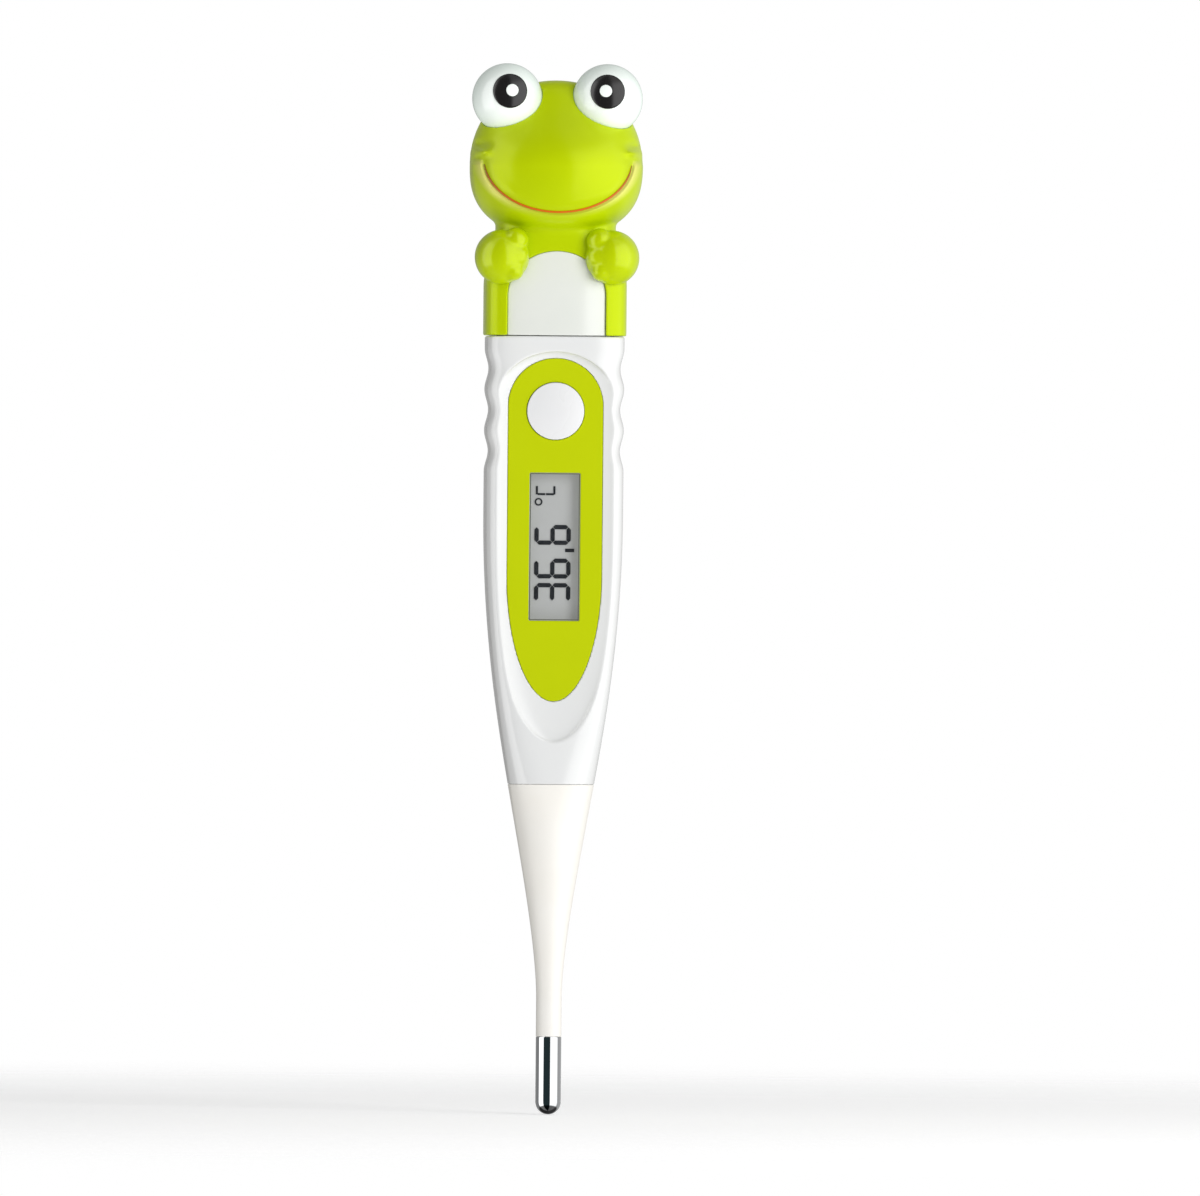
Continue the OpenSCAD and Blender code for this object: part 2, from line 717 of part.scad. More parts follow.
module sensor_cap() color(steel) lathe() right_half() difference() {
    union() {
        circle(tip_r);
        translate([-1, 0]) square([1 + tip_r, cap_l]);
        translate([-1, 0]) square([1 + shank_r, cap_l + shank_l]);
    }
    circle(tip_r - cap_wall);
    translate([-1, 0]) square([1 + tip_r - cap_wall, cap_l - cap_wall]);
    translate([-1, 0]) square([1 + shank_r - cap_wall, cap_l + shank_l + 1]);
}

module wire_holes(r) for (x = [-wire_x, wire_x]) translate([x, 0, 0]) cylinder(r = r, h = 20);

bead_r = 0.62;
bead_z = -0.5;

module thermistor_bead() color(black) translate([0, 0, bead_z]) sphere(bead_r);

module thermal_epoxy() color([0.15, 0.13, 0.12]) difference() {
    union() {
        sphere(tip_r - cap_wall - gap);
        cylinder(r = tip_r - cap_wall - gap, h = epoxy_top_z);
    }
    translate([0, 0, bead_z]) sphere(bead_r + gap);
    wire_holes(wire_r + gap);
}

module lead_wires() color([0.75, 0.35, 0.2])
    for (x = [-wire_x, wire_x]) translate([x, 0, bead_z + bead_r + 0.1]) cylinder(r = wire_r, h = wire_top_z);

// ---------- the part ----------

housing();
face_plate();
window_lens();
power_button();
lcd_front_glass();
lcd_rear_glass();
lcd_reflector();
lcd_segments();
lcd_frame();
elastomer_connectors();
circuit_board();
chip_encapsulant();
chip_resistors();
chip_capacitors();
switch_base();
switch_cover();
snap_dome();
switch_plunger();
buzzer_diaphragm();
buzzer_ceramic();
battery_carrier();
contact_positive();
contact_negative();
cell_can();
cell_gasket();
cell_cap();
cover_seal();
cover_sleeve();
frog_front_shell();
frog_back_shell();
eye(-1);  // eye_left
eye(1);  // eye_right
pupil(-1);  // pupil_left
pupil(1);  // pupil_right
pupil_highlights();
mouth_line();
belly_panel();
paw(-1);  // paw_left
paw(1);  // paw_right
neck_root();
for (k = [1:bends - 1]) neck_link(k);
neck_end();
sensor_cap();
thermistor_bead();
thermal_epoxy();
lead_wires();
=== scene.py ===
"""Looks of the frog-topped digital thermometer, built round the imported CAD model.

Shapes are worked out in millimetres, in the CAD frame: +Z from the sensor tip to the frog, the face along -Y.
Rounded pieces are skins round a field, a function that is negative inside the piece, so that every edge gets
a fillet.
"""
import json
import math

import bpy
import numpy as np
from mathutils import Matrix, Vector


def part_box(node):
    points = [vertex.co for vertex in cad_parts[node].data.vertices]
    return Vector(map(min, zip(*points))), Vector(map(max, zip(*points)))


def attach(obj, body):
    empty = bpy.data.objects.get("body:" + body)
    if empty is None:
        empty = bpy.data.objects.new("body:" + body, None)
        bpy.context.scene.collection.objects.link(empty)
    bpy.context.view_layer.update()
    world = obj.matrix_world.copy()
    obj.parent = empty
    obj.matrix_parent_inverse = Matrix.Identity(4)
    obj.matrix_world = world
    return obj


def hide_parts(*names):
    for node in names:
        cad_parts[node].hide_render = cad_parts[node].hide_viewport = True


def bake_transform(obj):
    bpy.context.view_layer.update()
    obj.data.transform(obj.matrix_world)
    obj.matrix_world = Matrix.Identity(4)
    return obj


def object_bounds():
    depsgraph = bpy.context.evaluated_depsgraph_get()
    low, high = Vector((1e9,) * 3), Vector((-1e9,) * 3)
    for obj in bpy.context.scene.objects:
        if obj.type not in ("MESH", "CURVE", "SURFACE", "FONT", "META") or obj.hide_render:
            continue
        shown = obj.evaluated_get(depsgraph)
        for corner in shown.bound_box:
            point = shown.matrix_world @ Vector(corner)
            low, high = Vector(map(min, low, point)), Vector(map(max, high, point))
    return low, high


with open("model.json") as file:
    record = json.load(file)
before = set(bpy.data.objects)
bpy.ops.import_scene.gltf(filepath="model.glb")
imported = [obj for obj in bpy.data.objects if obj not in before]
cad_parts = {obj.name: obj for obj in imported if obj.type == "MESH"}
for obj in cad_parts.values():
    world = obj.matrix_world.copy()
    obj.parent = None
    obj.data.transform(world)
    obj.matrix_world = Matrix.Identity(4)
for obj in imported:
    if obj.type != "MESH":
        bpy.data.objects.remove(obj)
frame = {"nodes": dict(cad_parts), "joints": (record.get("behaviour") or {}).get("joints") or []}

cad_box = [list(corner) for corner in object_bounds()]

MM = 0.001
COARSE = 1.0    # bigger cells while trying things


def extent(*nodes):
    """Lowest and highest corner of some CAD nodes together, in millimetres."""
    boxes = [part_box(node) for node in nodes]
    low = np.min([np.array(low) for low, high in boxes], axis=0)
    high = np.max([np.array(high) for low, high in boxes], axis=0)
    return low / MM, high / MM


# ---------- sizes read from the frame ----------

housing_high = extent("housing")[1]
BODY_W = housing_high[0]                    # half width
BACK_Y = housing_high[1]                    # plane of the flat back
SPIGOT_TOP = housing_high[2]
SEAM_Z = extent("cover_seal")[0][2] - 2.1   # joint between housing and cover
NECK_TOP = extent("neck_root")[1][2]
TIP_R = extent("sensor_cap")[1][0]
CAP_TOP = extent("neck_end")[0][2] - 0.08   # top of the sensor cap's bare wall

plate_low, plate_high = extent("face_plate")
PLATE_R = plate_high[0]
PLATE_Y = plate_low[1]                      # front of the face plate
PLATE_BACK = plate_high[1]
PLATE_ROUND_Z = plate_high[2] - PLATE_R     # centre of its round upper end
PLATE_TAIL = 18.1
PLATE_TAIL_Z = plate_low[2] + PLATE_TAIL    # where its elliptical lower end starts

lens_low, lens_high = extent("window_lens")
FLANGE = 0.5
WINDOW_W = lens_high[0] - FLANGE            # half width
WINDOW_Z = (lens_low[2] + lens_high[2]) / 2
WINDOW_L = (lens_high[2] - lens_low[2]) / 2 - FLANGE

button_low, button_high = extent("power_button")
BUTTON_Z = (button_low[2] + button_high[2]) / 2
BUTTON_FLANGE = button_high[0]
BUTTON_R = BUTTON_FLANGE - 0.73
BUTTON_Y = button_low[1]

cover_low, cover_high = extent("frog_front_shell", "frog_back_shell")
COVER_Z = cover_low[2]                      # lower edge of the frog's skirt
HEAD_R = cover_high[0]
HEAD_TOP = cover_high[2] + 0.15
HEAD_Z = HEAD_TOP - HEAD_R
FACE_Y = cover_low[1]
COVER_BACK = cover_high[1]

eye_low, eye_high = extent("eye_right")
EYE_R = (eye_high[0] - eye_low[0]) / 2
EYE = (eye_low + eye_high) / 2

mouth_low, mouth_high = extent("mouth_line")
belly_high = extent("belly_panel")[1]
BELLY_W = belly_high[0]
BELLY_TOP = belly_high[2]
BELLY_Y = belly_high[1]                     # back of the panel

SLEEVE_TOP = extent("cover_sleeve")[1][2]
HINGES = [joint["pos_m"][2] / MM for joint in frame["joints"] if joint["name"].startswith("neck_")]

# ---------- constants of the shape ----------

TAPER = (15.0, 84.0)      # heights between which the stick widens
TAPER_SKEW = 0.79
BODY_D = 6.2              # half thickness the stick levels off at
SQUARING = (38.0, 62.0)   # heights between which the round section turns square
SQUARE_POWER = 5.0
GRIP_Z = 90.0             # finger scallops: lowest point, pitch, count and depth
GRIP_PITCH = 5.87
GRIP_COUNT = 3
GRIP_DEPTH = 0.55
GAP = 0.03                # joint line between neighbouring pieces

RIM_Y = -6.0              # where the dished rim round the plate meets the stick's front
RIM_SPREAD = (0.9, 1.9, 5.7)   # spread of that rim at the top, sides and tail
SEAT_Y = PLATE_BACK + GAP

SPIGOT = (8.2, 4.2, -0.4, 2.2)  # half width, half depth, centre Y and corner radius
SPIGOT_WALL = 1.1
TONGUE_R = 2.6
TONGUE_L = 3.0
WIRE_BORE = 1.2
NECK_BORE = 0.9
SHANK = (1.38, 2.68)      # radius and length of the socket for the cap's shank

WAIST_Z = 116.5
THROAT_Z = 124.6
THROAT_W = 8.6
TRUNK_W = 10.15
TRUNK_FRONT = 6.45
HEAD_LOW = 9.9
CROWN_BACK = 9.0
FACE_DEPTH = 10.2
SHELL_WALL = 1.4
BROW_Z = 133.5            # the forehead slopes back from this height,
BROW_RISE = 11.0          # over this much height,
BROW_CUT = 0.42           # until this share of the face's depth is gone
PART_Y = 1.0              # plane between the front and back shells

BELLY_CROWN = 46.0        # radius of the belly panel's curve across

SMILE_W = mouth_high[0] - 0.15
SMILE_Z = mouth_high[2] + 0.35
SMILE_DROP = SMILE_Z - mouth_low[2] - 0.3

PALM = np.array([7.8, -5.3, 120.5])
PALM_R = 3.95
# Fingers of a paw: offset from the palm (inwards, back, up) and radius
FINGERS = [((1.8, -1.3, 2.35), 1.85), ((2.0, -1.7, 0.15), 1.7), ((1.5, -1.9, -1.85), 1.5)]
SHOULDER = np.array([8.2, 1.6, 121.8])


# ---------- fields ----------

def smooth(t):
    t = np.clip(t, 0, 1)
    return t * t * (3 - 2 * t)


def join(a, b, r):
    """Both fields together, with a fillet of about r where they meet."""
    h = np.clip(0.5 + 0.5 * (b - a) / r, 0, 1)
    return b * (1 - h) + a * h - r * h * (1 - h)


def meet(a, b, r):
    """What is inside both fields, with edges rounded by about r."""
    return -join(-a, -b, r)


def cut(a, b, r):
    """Field a without what is inside b."""
    return meet(a, -b, r)


def oval(u, v, a, b, n):
    """Superellipse with half axes a and b, as a distance."""
    pu = (np.abs(u) + 1e-6) / a
    pv = (np.abs(v) + 1e-6) / b
    k = (pu ** n + pv ** n) ** (1 / n)
    slope = np.hypot(pu ** (n - 1) / a, pv ** (n - 1) / b) * k ** (1 - n)
    return (k - 1) / slope


def rounded_box(u, v, a, b, r):
    """Rectangle with half sides a and b and corner radius r, as a distance."""
    du = np.abs(u) - (a - r)
    dv = np.abs(v) - (b - r)
    return np.hypot(np.maximum(du, 0), np.maximum(dv, 0)) + np.minimum(np.maximum(du, dv), 0) - r


def ball(x, y, z, centre, r):
    return np.sqrt((x - centre[0]) ** 2 + (y - centre[1]) ** 2 + (z - centre[2]) ** 2) - r


def capsule(x, y, z, start, end, r0, r1):
    along = end - start
    t = ((x - start[0]) * along[0] + (y - start[1]) * along[1] + (z - start[2]) * along[2]) / (along @ along)
    t = np.clip(t, 0, 1)
    return ball(x - t * along[0], y - t * along[1], z - t * along[2], start, r0 + t * (r1 - r0))


def stick_w(z):
    """Half width of the stick without its finger scallops."""
    t = np.clip((z - TAPER[0]) / (TAPER[1] - TAPER[0]), 0, 1) ** TAPER_SKEW
    return TIP_R + (BODY_W - TIP_R) * (0.5 - 0.5 * np.cos(np.pi * t))


def stick_d(z):
    w = stick_w(z)
    return w / (1 + (w / BODY_D) ** 8) ** (1 / 8)


def stick_power(z):
    return 2 + (SQUARE_POWER - 2) * smooth((z - SQUARING[0]) / (SQUARING[1] - SQUARING[0]))


def scallop(z):
    turns = np.clip((z - GRIP_Z) / GRIP_PITCH, 0, GRIP_COUNT)
    return GRIP_DEPTH / 2 * (1 - np.cos(2 * np.pi * turns))


def stick(x, y, z):
    body = oval(x, y, stick_w(z) - scallop(z), stick_d(z), stick_power(z))
    return meet(body, y - BACK_Y, 0.9)


def plate_shape(x, z, top=0.0, side=0.0, tail=0.0):
    """Outline of the face plate in X and Z, spread at its top, sides and tail."""
    upper = oval(x, z - PLATE_ROUND_Z, PLATE_R + side, PLATE_R + top, 2)
    lower = oval(x, z - PLATE_TAIL_Z, PLATE_R + side, PLATE_TAIL + tail, 2)
    middle = np.abs(x) - (PLATE_R + side)
    return np.where(z > PLATE_ROUND_Z, upper, np.where(z < PLATE_TAIL_Z, lower, middle))


def spigot(x, y, inset):
    a, b, y0, r = SPIGOT
    return rounded_box(x, y - y0, a - inset, b - inset, r - inset)


def housing(x, y, z):
    body = meet(stick(x, y, z), z - SEAM_Z, 0.35)
    body = meet(body, NECK_TOP + 0.01 - z, 0.04)
    # the dished scoop round the face plate
    depth = PLATE_Y - RIM_Y
    f = np.clip((PLATE_Y - y) / depth, 0, 1.8)
    grow = np.where(f < 1, 1 - (1 - f) ** 3, 1 + 0.3 * (f - 1))
    scoop = plate_shape(x, z, *(GAP + grow * spread for spread in RIM_SPREAD))
    share = np.clip((PLATE_TAIL_Z - z) / PLATE_TAIL, 0, 1)
    reach = RIM_SPREAD[1] + (RIM_SPREAD[2] - RIM_SPREAD[1]) * share ** 2
    slope = reach * np.maximum(3 * (1 - f) ** 2, 0.3) / depth
    scoop = scoop / np.sqrt(1 + slope ** 2)
    body = cut(body, meet(scoop, y - PLATE_Y, 0.05), 0.22)
    body = cut(body, meet(plate_shape(x, z) - GAP, y - SEAT_Y, 0.05), 0.05)
    post = meet(spigot(x, y, 0), z - SPIGOT_TOP, 0.4)
    body = join(body, np.maximum(post, SEAM_Z - 1 - z), 0.05)
    tongue = np.maximum(np.hypot(x, y) - TONGUE_R, np.maximum(NECK_TOP - TONGUE_L - z, z - NECK_TOP - 1))
    body = np.minimum(body, tongue)
    # openings and hollows
    window = rounded_box(x, z - WINDOW_Z, WINDOW_W + FLANGE + 0.08, WINDOW_L + FLANGE + 0.08, 0.3)
    body = cut(body, np.maximum(window, y), 0.05)
    body = cut(body, np.maximum(np.hypot(x, z - BUTTON_Z) - BUTTON_R - 0.06, y), 0.05)
    cavity = np.maximum(rounded_box(x, y - 0.2, 7.5, 3.7, 1.0), np.maximum(63 - z, z - SEAM_Z + 1.5))
    tail = np.maximum(rounded_box(x, y, 5.5, 3.5, 0.5), np.maximum(50 - z, z - 64))
    bore = np.maximum(np.hypot(x, y) - WIRE_BORE, z - 55)
    socket = np.maximum(spigot(x, y, SPIGOT_WALL), SEAM_Z - 2 - z)
    hollow = np.minimum(np.minimum(cavity, tail), np.minimum(bore, socket))
    body = cut(body, hollow, 0.15)
    groove = np.maximum(-spigot(x, y, 0.6), np.abs(z - SEAM_Z - 2.75) - 0.73)
    return cut(body, groove, 0.08)


def face_plate(x, y, z):
    slab = meet(plate_shape(x, z), np.abs(y - (PLATE_Y + PLATE_BACK) / 2) - (PLATE_BACK - PLATE_Y) / 2, 0.12)
    slab = cut(slab, rounded_box(x, z - WINDOW_Z, WINDOW_W, WINDOW_L, 0.2), 0.08)
    return cut(slab, np.hypot(x, z - BUTTON_Z) - BUTTON_R - 0.06, 0.08)


def trunk(x, y, z):
    """The frog's trunk, from the skirt up into the head."""
    up = smooth((z - WAIST_Z) / (THROAT_Z - WAIST_Z))
    a = TRUNK_W - (TRUNK_W - THROAT_W) * up
    b = np.where(y < 0, TRUNK_FRONT - 0.5 * up, COVER_BACK + 0.5 - 1.1 * up)
    n = SQUARE_POWER - (SQUARE_POWER - 2.15) * smooth((z - WAIST_Z) / 12)
    return np.maximum(oval(x, y, a, b, n), z - THROAT_Z - 3)


def skull(x, y, z):
    """The frog's head without its features."""
    brow = 1 - BROW_CUT * smooth((z - BROW_Z) / BROW_RISE)
    b = np.where(y < 0, FACE_DEPTH * brow, CROWN_BACK)
    high = z > HEAD_Z
    c = np.where(high, HEAD_R, HEAD_LOW)
    q = np.where(high, 2.12, 2.5)
    p = 2.15
    k = ((np.abs(x) / HEAD_R) ** p + (np.abs(y) / b) ** p) ** (q / p) + (np.abs(z - HEAD_Z) / c) ** q
    k = (k + 1e-9) ** (1 / q)
    return np.sqrt(x * x + y * y + (z - HEAD_Z) ** 2) * (k - 1) / k


def plain_frog(x, y, z):
    figure = join(trunk(x, y, z), skull(x, y, z), 0.5)
    return meet(figure, y - COVER_BACK, 1.0)


def smile_side(x, z):
    """Distance from the line of the smile in the front view: above it negative, below it positive."""
    px = x / SMILE_W
    pz = np.minimum(z - SMILE_Z, 0) / SMILE_DROP
    k = np.sqrt(px * px + pz * pz) + 1e-6
    slope = np.hypot(px / SMILE_W, pz / SMILE_DROP) / k + 1e-6
    return (k - 1) / slope


def features(x, y, z):
    """How far the frog's features stand out of its plain face."""
    u = smile_side(x, z)
    below = smooth((SMILE_Z + 0.2 - z) / 1.2)
    groove = -0.1 * np.exp(-(u / 0.25) ** 2)
    lip = 0.42 * smooth((u - 0.15) / 0.5) * (1 - smooth((u - 0.9) / 2.6)) * smooth(-y / 4)
    muzzle = 0.1 * np.exp(-((u + 0.9) / 0.8) ** 2)
    cheek_x = (np.abs(x) - SMILE_W - 0.2) / 1.0
    cheek = 0.55 * np.exp(-cheek_x ** 2 - ((z - SMILE_Z - 0.95) / 0.5) ** 2)
    dimple = -0.5 * np.exp(-cheek_x ** 2 - ((z - SMILE_Z - 2.1) / 0.6) ** 2)
    return np.where(y < 0, (groove + lip + muzzle) * below + cheek + dimple, 0)


def frog(x, y, z):
    """Outside of the figure with its features and its lower edge."""
    figure = plain_frog(x, y, z) - features(x, y, z)
    return meet(figure, COVER_Z - z, 0.18)


def belly_shape(x, z):
    spring = BELLY_TOP - 6.35
    arch = oval(x, z - spring, BELLY_W, BELLY_TOP - spring, 2)
    return np.where(z > spring, arch, np.abs(x) - BELLY_W)


def frog_shell(x, y, z):
    shell = frog(x, y, z)
    inner = np.maximum(spigot(x, y, -0.88), z - SLEEVE_TOP - GAP)
    cave = np.maximum(plain_frog(x, y, z) + SHELL_WALL, SLEEVE_TOP - 0.5 - z)
    shell = cut(shell, np.minimum(inner, cave), 0.2)
    eyes = ball(np.abs(x), y, z, EYE, EYE_R + 0.05)
    return cut(shell, eyes, 0.14)


def front_shell(x, y, z):
    shell = meet(frog_shell(x, y, z), y - PART_Y + 0.04, 0.14)
    return cut(shell, np.maximum(belly_shape(x, z) - GAP, y), 0.2)


def back_shell(x, y, z):
    return meet(frog_shell(x, y, z), PART_Y + 0.04 - y, 0.14)


def belly_panel(x, y, z):
    # crowned across, so that its sides lie below the skirt
    panel = meet(plain_frog(x, y, z) + x * x / (2 * BELLY_CROWN), COVER_Z - z, 0.18)
    panel = meet(panel, belly_shape(x, z), 0.15)
    return meet(panel, y - BELLY_Y, 0.1)


def paw(x, y, z):
    """The paw at +X: a palm with three fingers and the arm behind it."""
    hand = ball(x, y, z, PALM, PALM_R)
    arm = capsule(x, y, z, PALM + [0.5, 1.6, 0.4], SHOULDER, 2.7, 2.3)
    hand = join(hand, arm, 1.2)
    for (inwards, back, up), r in FINGERS:
        hand = join(hand, ball(x, y, z, PALM + [-inwards, back, up], r), 0.3)
    return cut(hand, frog(x, y, z) - 0.06, 0.2)


# ---------- meshes ----------

def full_turn(count):
    return np.linspace(0, 2 * np.pi, count, endpoint=False)


def unit(vectors):
    return vectors / (np.linalg.norm(vectors, axis=1, keepdims=True) + 1e-12)


def slope_of(field, points, step):
    """Value and gradient of a field at some points."""
    value = field(*points.T)
    gradient = np.empty_like(points)
    for axis in range(3):
        ahead = points.copy()
        behind = points.copy()
        ahead[:, axis] += step
        behind[:, axis] -= step
        gradient[:, axis] = (field(*ahead.T) - field(*behind.T)) / (2 * step)
    return value, gradient


def make_piece(name, points, faces, material):
    mesh = bpy.data.meshes.new(name)
    mesh.from_pydata((np.asarray(points, float) * MM).tolist(), [], [list(face) for face in faces])
    mesh.update()
    piece = bpy.data.objects.new(name, mesh)
    bpy.context.scene.collection.objects.link(piece)
    piece.data.materials.append(material)
    for polygon in mesh.polygons:
        polygon.use_smooth = True
    return piece


CORNERS = [(i, j, k) for i in (0, 1) for j in (0, 1) for k in (0, 1)]
EDGES = [(a, b) for a in CORNERS for b in CORNERS if a < b and sum(abs(p - q) for p, q in zip(a, b)) == 1]


def skin(name, field, low, high, cell, material):
    """The surface where a field is zero, as a closed mesh of quads whose points lie on that surface."""
    cell = cell * COARSE
    low = np.array(low, float)
    counts = np.ceil((np.array(high, float) - low) / cell).astype(int) + 1
    grid = np.meshgrid(*[low[i] + cell * np.arange(counts[i]) for i in range(3)], indexing="ij")
    value = field(*grid)
    inside = value < 0
    near = sum(inside[i:counts[0] - 1 + i, j:counts[1] - 1 + j, k:counts[2] - 1 + k].astype(np.int8)
               for i, j, k in CORNERS)
    cells = np.argwhere((near > 0) & (near < 8))
    index = np.full(near.shape, -1)
    index[tuple(cells.T)] = np.arange(len(cells))
    total = np.zeros((len(cells), 3))
    hits = np.zeros((len(cells), 1))
    for a, b in EDGES:
        va = value[tuple((cells + a).T)]
        vb = value[tuple((cells + b).T)]
        crossed = ((va < 0) != (vb < 0))[:, None]
        share = (va / np.where(va == vb, 1, va - vb))[:, None]
        total += np.where(crossed, np.array(a) + share * (np.array(b) - np.array(a)), 0)
        hits += crossed
    points = low + cell * (cells + total / hits)
    for _ in range(4):
        distance, gradient = slope_of(field, points, 0.1 * cell)
        move = gradient * (distance / (np.sum(gradient ** 2, axis=1) + 1e-9))[:, None]
        length = np.linalg.norm(move, axis=1, keepdims=True) + 1e-12
        points = points - move * np.minimum(1, 0.4 * cell / length)
    faces = []
    for axis in range(3):
        u, v = (axis + 1) % 3, (axis + 2) % 3
        first = np.take(inside, range(counts[axis] - 1), axis=axis)
        second = np.take(inside, range(1, counts[axis]), axis=axis)
        where = np.argwhere(first != second)
        keep = (where[:, u] > 0) & (where[:, v] > 0)
        keep &= (where[:, u] < counts[u] - 1) & (where[:, v] < counts[v] - 1)
        where = where[keep]
        quad = []
        for du, dv in ((-1, -1), (0, -1), (0, 0), (-1, 0)):
            at = where.copy()
            at[:, u] += du
            at[:, v] += dv
            quad.append(index[tuple(at.T)])
        quad = np.stack(quad, axis=1)
        outward = first[tuple(where.T)]
        quad[~outward] = quad[~outward][:, ::-1]
        faces.append(quad)
    piece = make_piece(name, points, np.concatenate(faces).tolist(), material)
    normals = unit(slope_of(field, points, 0.25 * cell)[1])
    piece.data.normals_split_custom_set_from_vertices(normals.tolist())
    return piece


def tube(name, rings, material, closed=True):
    """A skin through rings of equally many points.

    Closed, its last ring joins the first. Otherwise it has a flat face at each end."""
    count = len(rings[0])
    points = np.concatenate(rings)
    faces = []
    spans = len(rings) if closed else len(rings) - 1
    for k in range(spans):
        a = k * count
        b = (k + 1) % len(rings) * count
        faces += [(a + i, a + (i + 1) % count, b + (i + 1) % count, b + i) for i in range(count)]
    if not closed:
        faces.append(tuple(range(count))[::-1])
        faces.append(tuple((len(rings) - 1) * count + i for i in range(count)))
    return make_piece(name, points, faces, material)


def sharpen(piece, degrees=40):
    """Shades a piece smooth except across edges sharper than this."""
    piece.data.set_sharp_from_angle(angle=math.radians(degrees))


def lathe(name, profile, material, centre=(0, 0, 0), axis="z", around=96):
    """Turns a profile of (radius, height) points round an axis. Both ends lie on the axis."""
    turn = full_turn(around)
    points = []
    faces = []
    start = 0
    for k, (r, h) in enumerate(profile):
        count = around if r > 1e-6 else 1
        ring = np.stack([r * np.cos(turn[:count]), r * np.sin(turn[:count]), np.full(count, h)], axis=1)
        points.append(ring)
        if k:
            low, high = start - before, start
            for i in range(around):
                j = (i + 1) % around
                quad = [low + i % before, low + j % before, high + j % count, high + i % count]
                faces.append(tuple(dict.fromkeys(quad)))
        before = count
        start += count
    points = np.concatenate(points)
    if axis == "y":
        points = points[:, [0, 2, 1]] * [-1, 1, 1]
    return make_piece(name, points + np.array(centre), faces, material)


def arc(cx, cy, r, start, end, steps):
    """Points of an arc, with angles in degrees."""
    turn = [math.radians(start + (end - start) * i / steps) for i in range(steps + 1)]
    return [(cx + r * math.cos(a), cy + r * math.sin(a)) for a in turn]


def bevel(piece, width):
    """Rounds a piece's edges by a modifier, for parts whose edges are sharp in the CAD model."""
    modifier = piece.modifiers.new("edges", "BEVEL")
    modifier.width = width * MM
    modifier.segments = 3
    modifier.limit_method = "ANGLE"
    modifier.angle_limit = math.radians(35)


# ---------- materials ----------

def new_material(name):
    material = bpy.data.materials.new(name)
    material.use_nodes = True
    nodes = material.node_tree.nodes
    return material, nodes, nodes["Principled BSDF"]


def link(output, target):
    output.id_data.links.new(output, target)


def fill(node, values):
    """Sets inputs of a node by name."""
    for name, value in values.items():
        node.inputs[name].default_value = value
    return node


def srgb(r, g, b):
    """Linear colour of an 8-bit screen colour."""
    return tuple(((c / 255 + 0.055) / 1.055) ** 2.4 if c > 10 else c / 255 / 12.92 for c in (r, g, b)) + (1,)


def noise(nodes, scale, detail=3, stretch=(1, 1, 1)):
    """Noise over the object's own coordinates; scale counts features per metre."""
    mapping = fill(nodes.new("ShaderNodeMapping"), {"Scale": stretch})
    texture = fill(nodes.new("ShaderNodeTexNoise"), {"Scale": scale, "Detail": detail})
    link(place(nodes), mapping.inputs["Vector"])
    link(mapping.outputs["Vector"], texture.inputs["Vector"])
    return texture.outputs["Fac"]


def remap(nodes, value, low, high, to_low=0, to_high=1, curve="LINEAR"):
    """Maps low to high onto to_low to to_high, and stops there."""
    node = nodes.new("ShaderNodeMapRange")
    node.interpolation_type = curve
    fill(node, {"From Min": low, "From Max": high, "To Min": to_low, "To Max": to_high})
    link(value, node.inputs["Value"])
    return node.outputs["Result"]


def spread(nodes, value, low, high):
    """Maps a value of 0.3 to 0.7, where noise lives, onto low to high."""
    return remap(nodes, value, 0.3, 0.7, low, high)


def calculate(nodes, operation, first, second=0, clamp=False):
    """A maths node's result from two values, each a number or a socket."""
    node = nodes.new("ShaderNodeMath")
    node.operation = operation
    node.use_clamp = clamp
    for socket, value in zip(node.inputs, (first, second)):
        if hasattr(value, "links"):
            link(value, socket)
        else:
            socket.default_value = value
    return node.outputs["Value"]


def distance_from(nodes, vector):
    """Length of a vector, as a socket."""
    length = nodes.new("ShaderNodeVectorMath")
    length.operation = "LENGTH"
    link(vector, length.inputs[0])
    return length.outputs["Value"]


def components(nodes, vector):
    """X, Y and Z of a vector, as sockets by name."""
    split = nodes.new("ShaderNodeSeparateXYZ")
    link(vector, split.inputs["Vector"])
    return split.outputs


def place(nodes):
    """Point on the object in its own coordinates, as a socket."""
    return nodes.new("ShaderNodeTexCoord").outputs["Object"]


def grey_ramp(nodes, value, stops):
    """A value led through a grey ramp of (position, value) stops in rising order."""
    ramp = nodes.new("ShaderNodeValToRGB")
    link(value, ramp.inputs["Fac"])
    set_stops(ramp, [(position, (value, value, value, 1)) for position, value in stops])
    return ramp.outputs["Color"]


def set_stops(ramp, stops):
    """Fills a ramp with (position, colour) pairs in rising order."""
    elements = ramp.color_ramp.elements
    while len(elements) < len(stops):
        elements.new(0.5)
    for element, (position, colour) in zip(elements, stops):
        element.position = position
        element.color = colour


def mix_colour(nodes, factor, a, b, blend="MIX"):
    node = nodes.new("ShaderNodeMix")
    node.data_type = "RGBA"
    node.blend_type = blend
    if hasattr(factor, "links"):
        link(factor, node.inputs["Factor"])
    else:
        node.inputs["Factor"].default_value = factor
    for socket, colour in (("A", a), ("B", b)):
        target = [i for i in node.inputs if i.name == socket and i.type == "RGBA"][0]
        if hasattr(colour, "links"):
            link(colour, target)
        else:
            target.default_value = colour
    return [o for o in node.outputs if o.type == "RGBA"][0]


def bump(nodes, height, strength, distance):
    """Bump whose distance is in millimetres."""
    node = fill(nodes.new("ShaderNodeBump"), {"Strength": strength, "Distance": distance * MM})
    link(height, node.inputs["Height"])
    return node


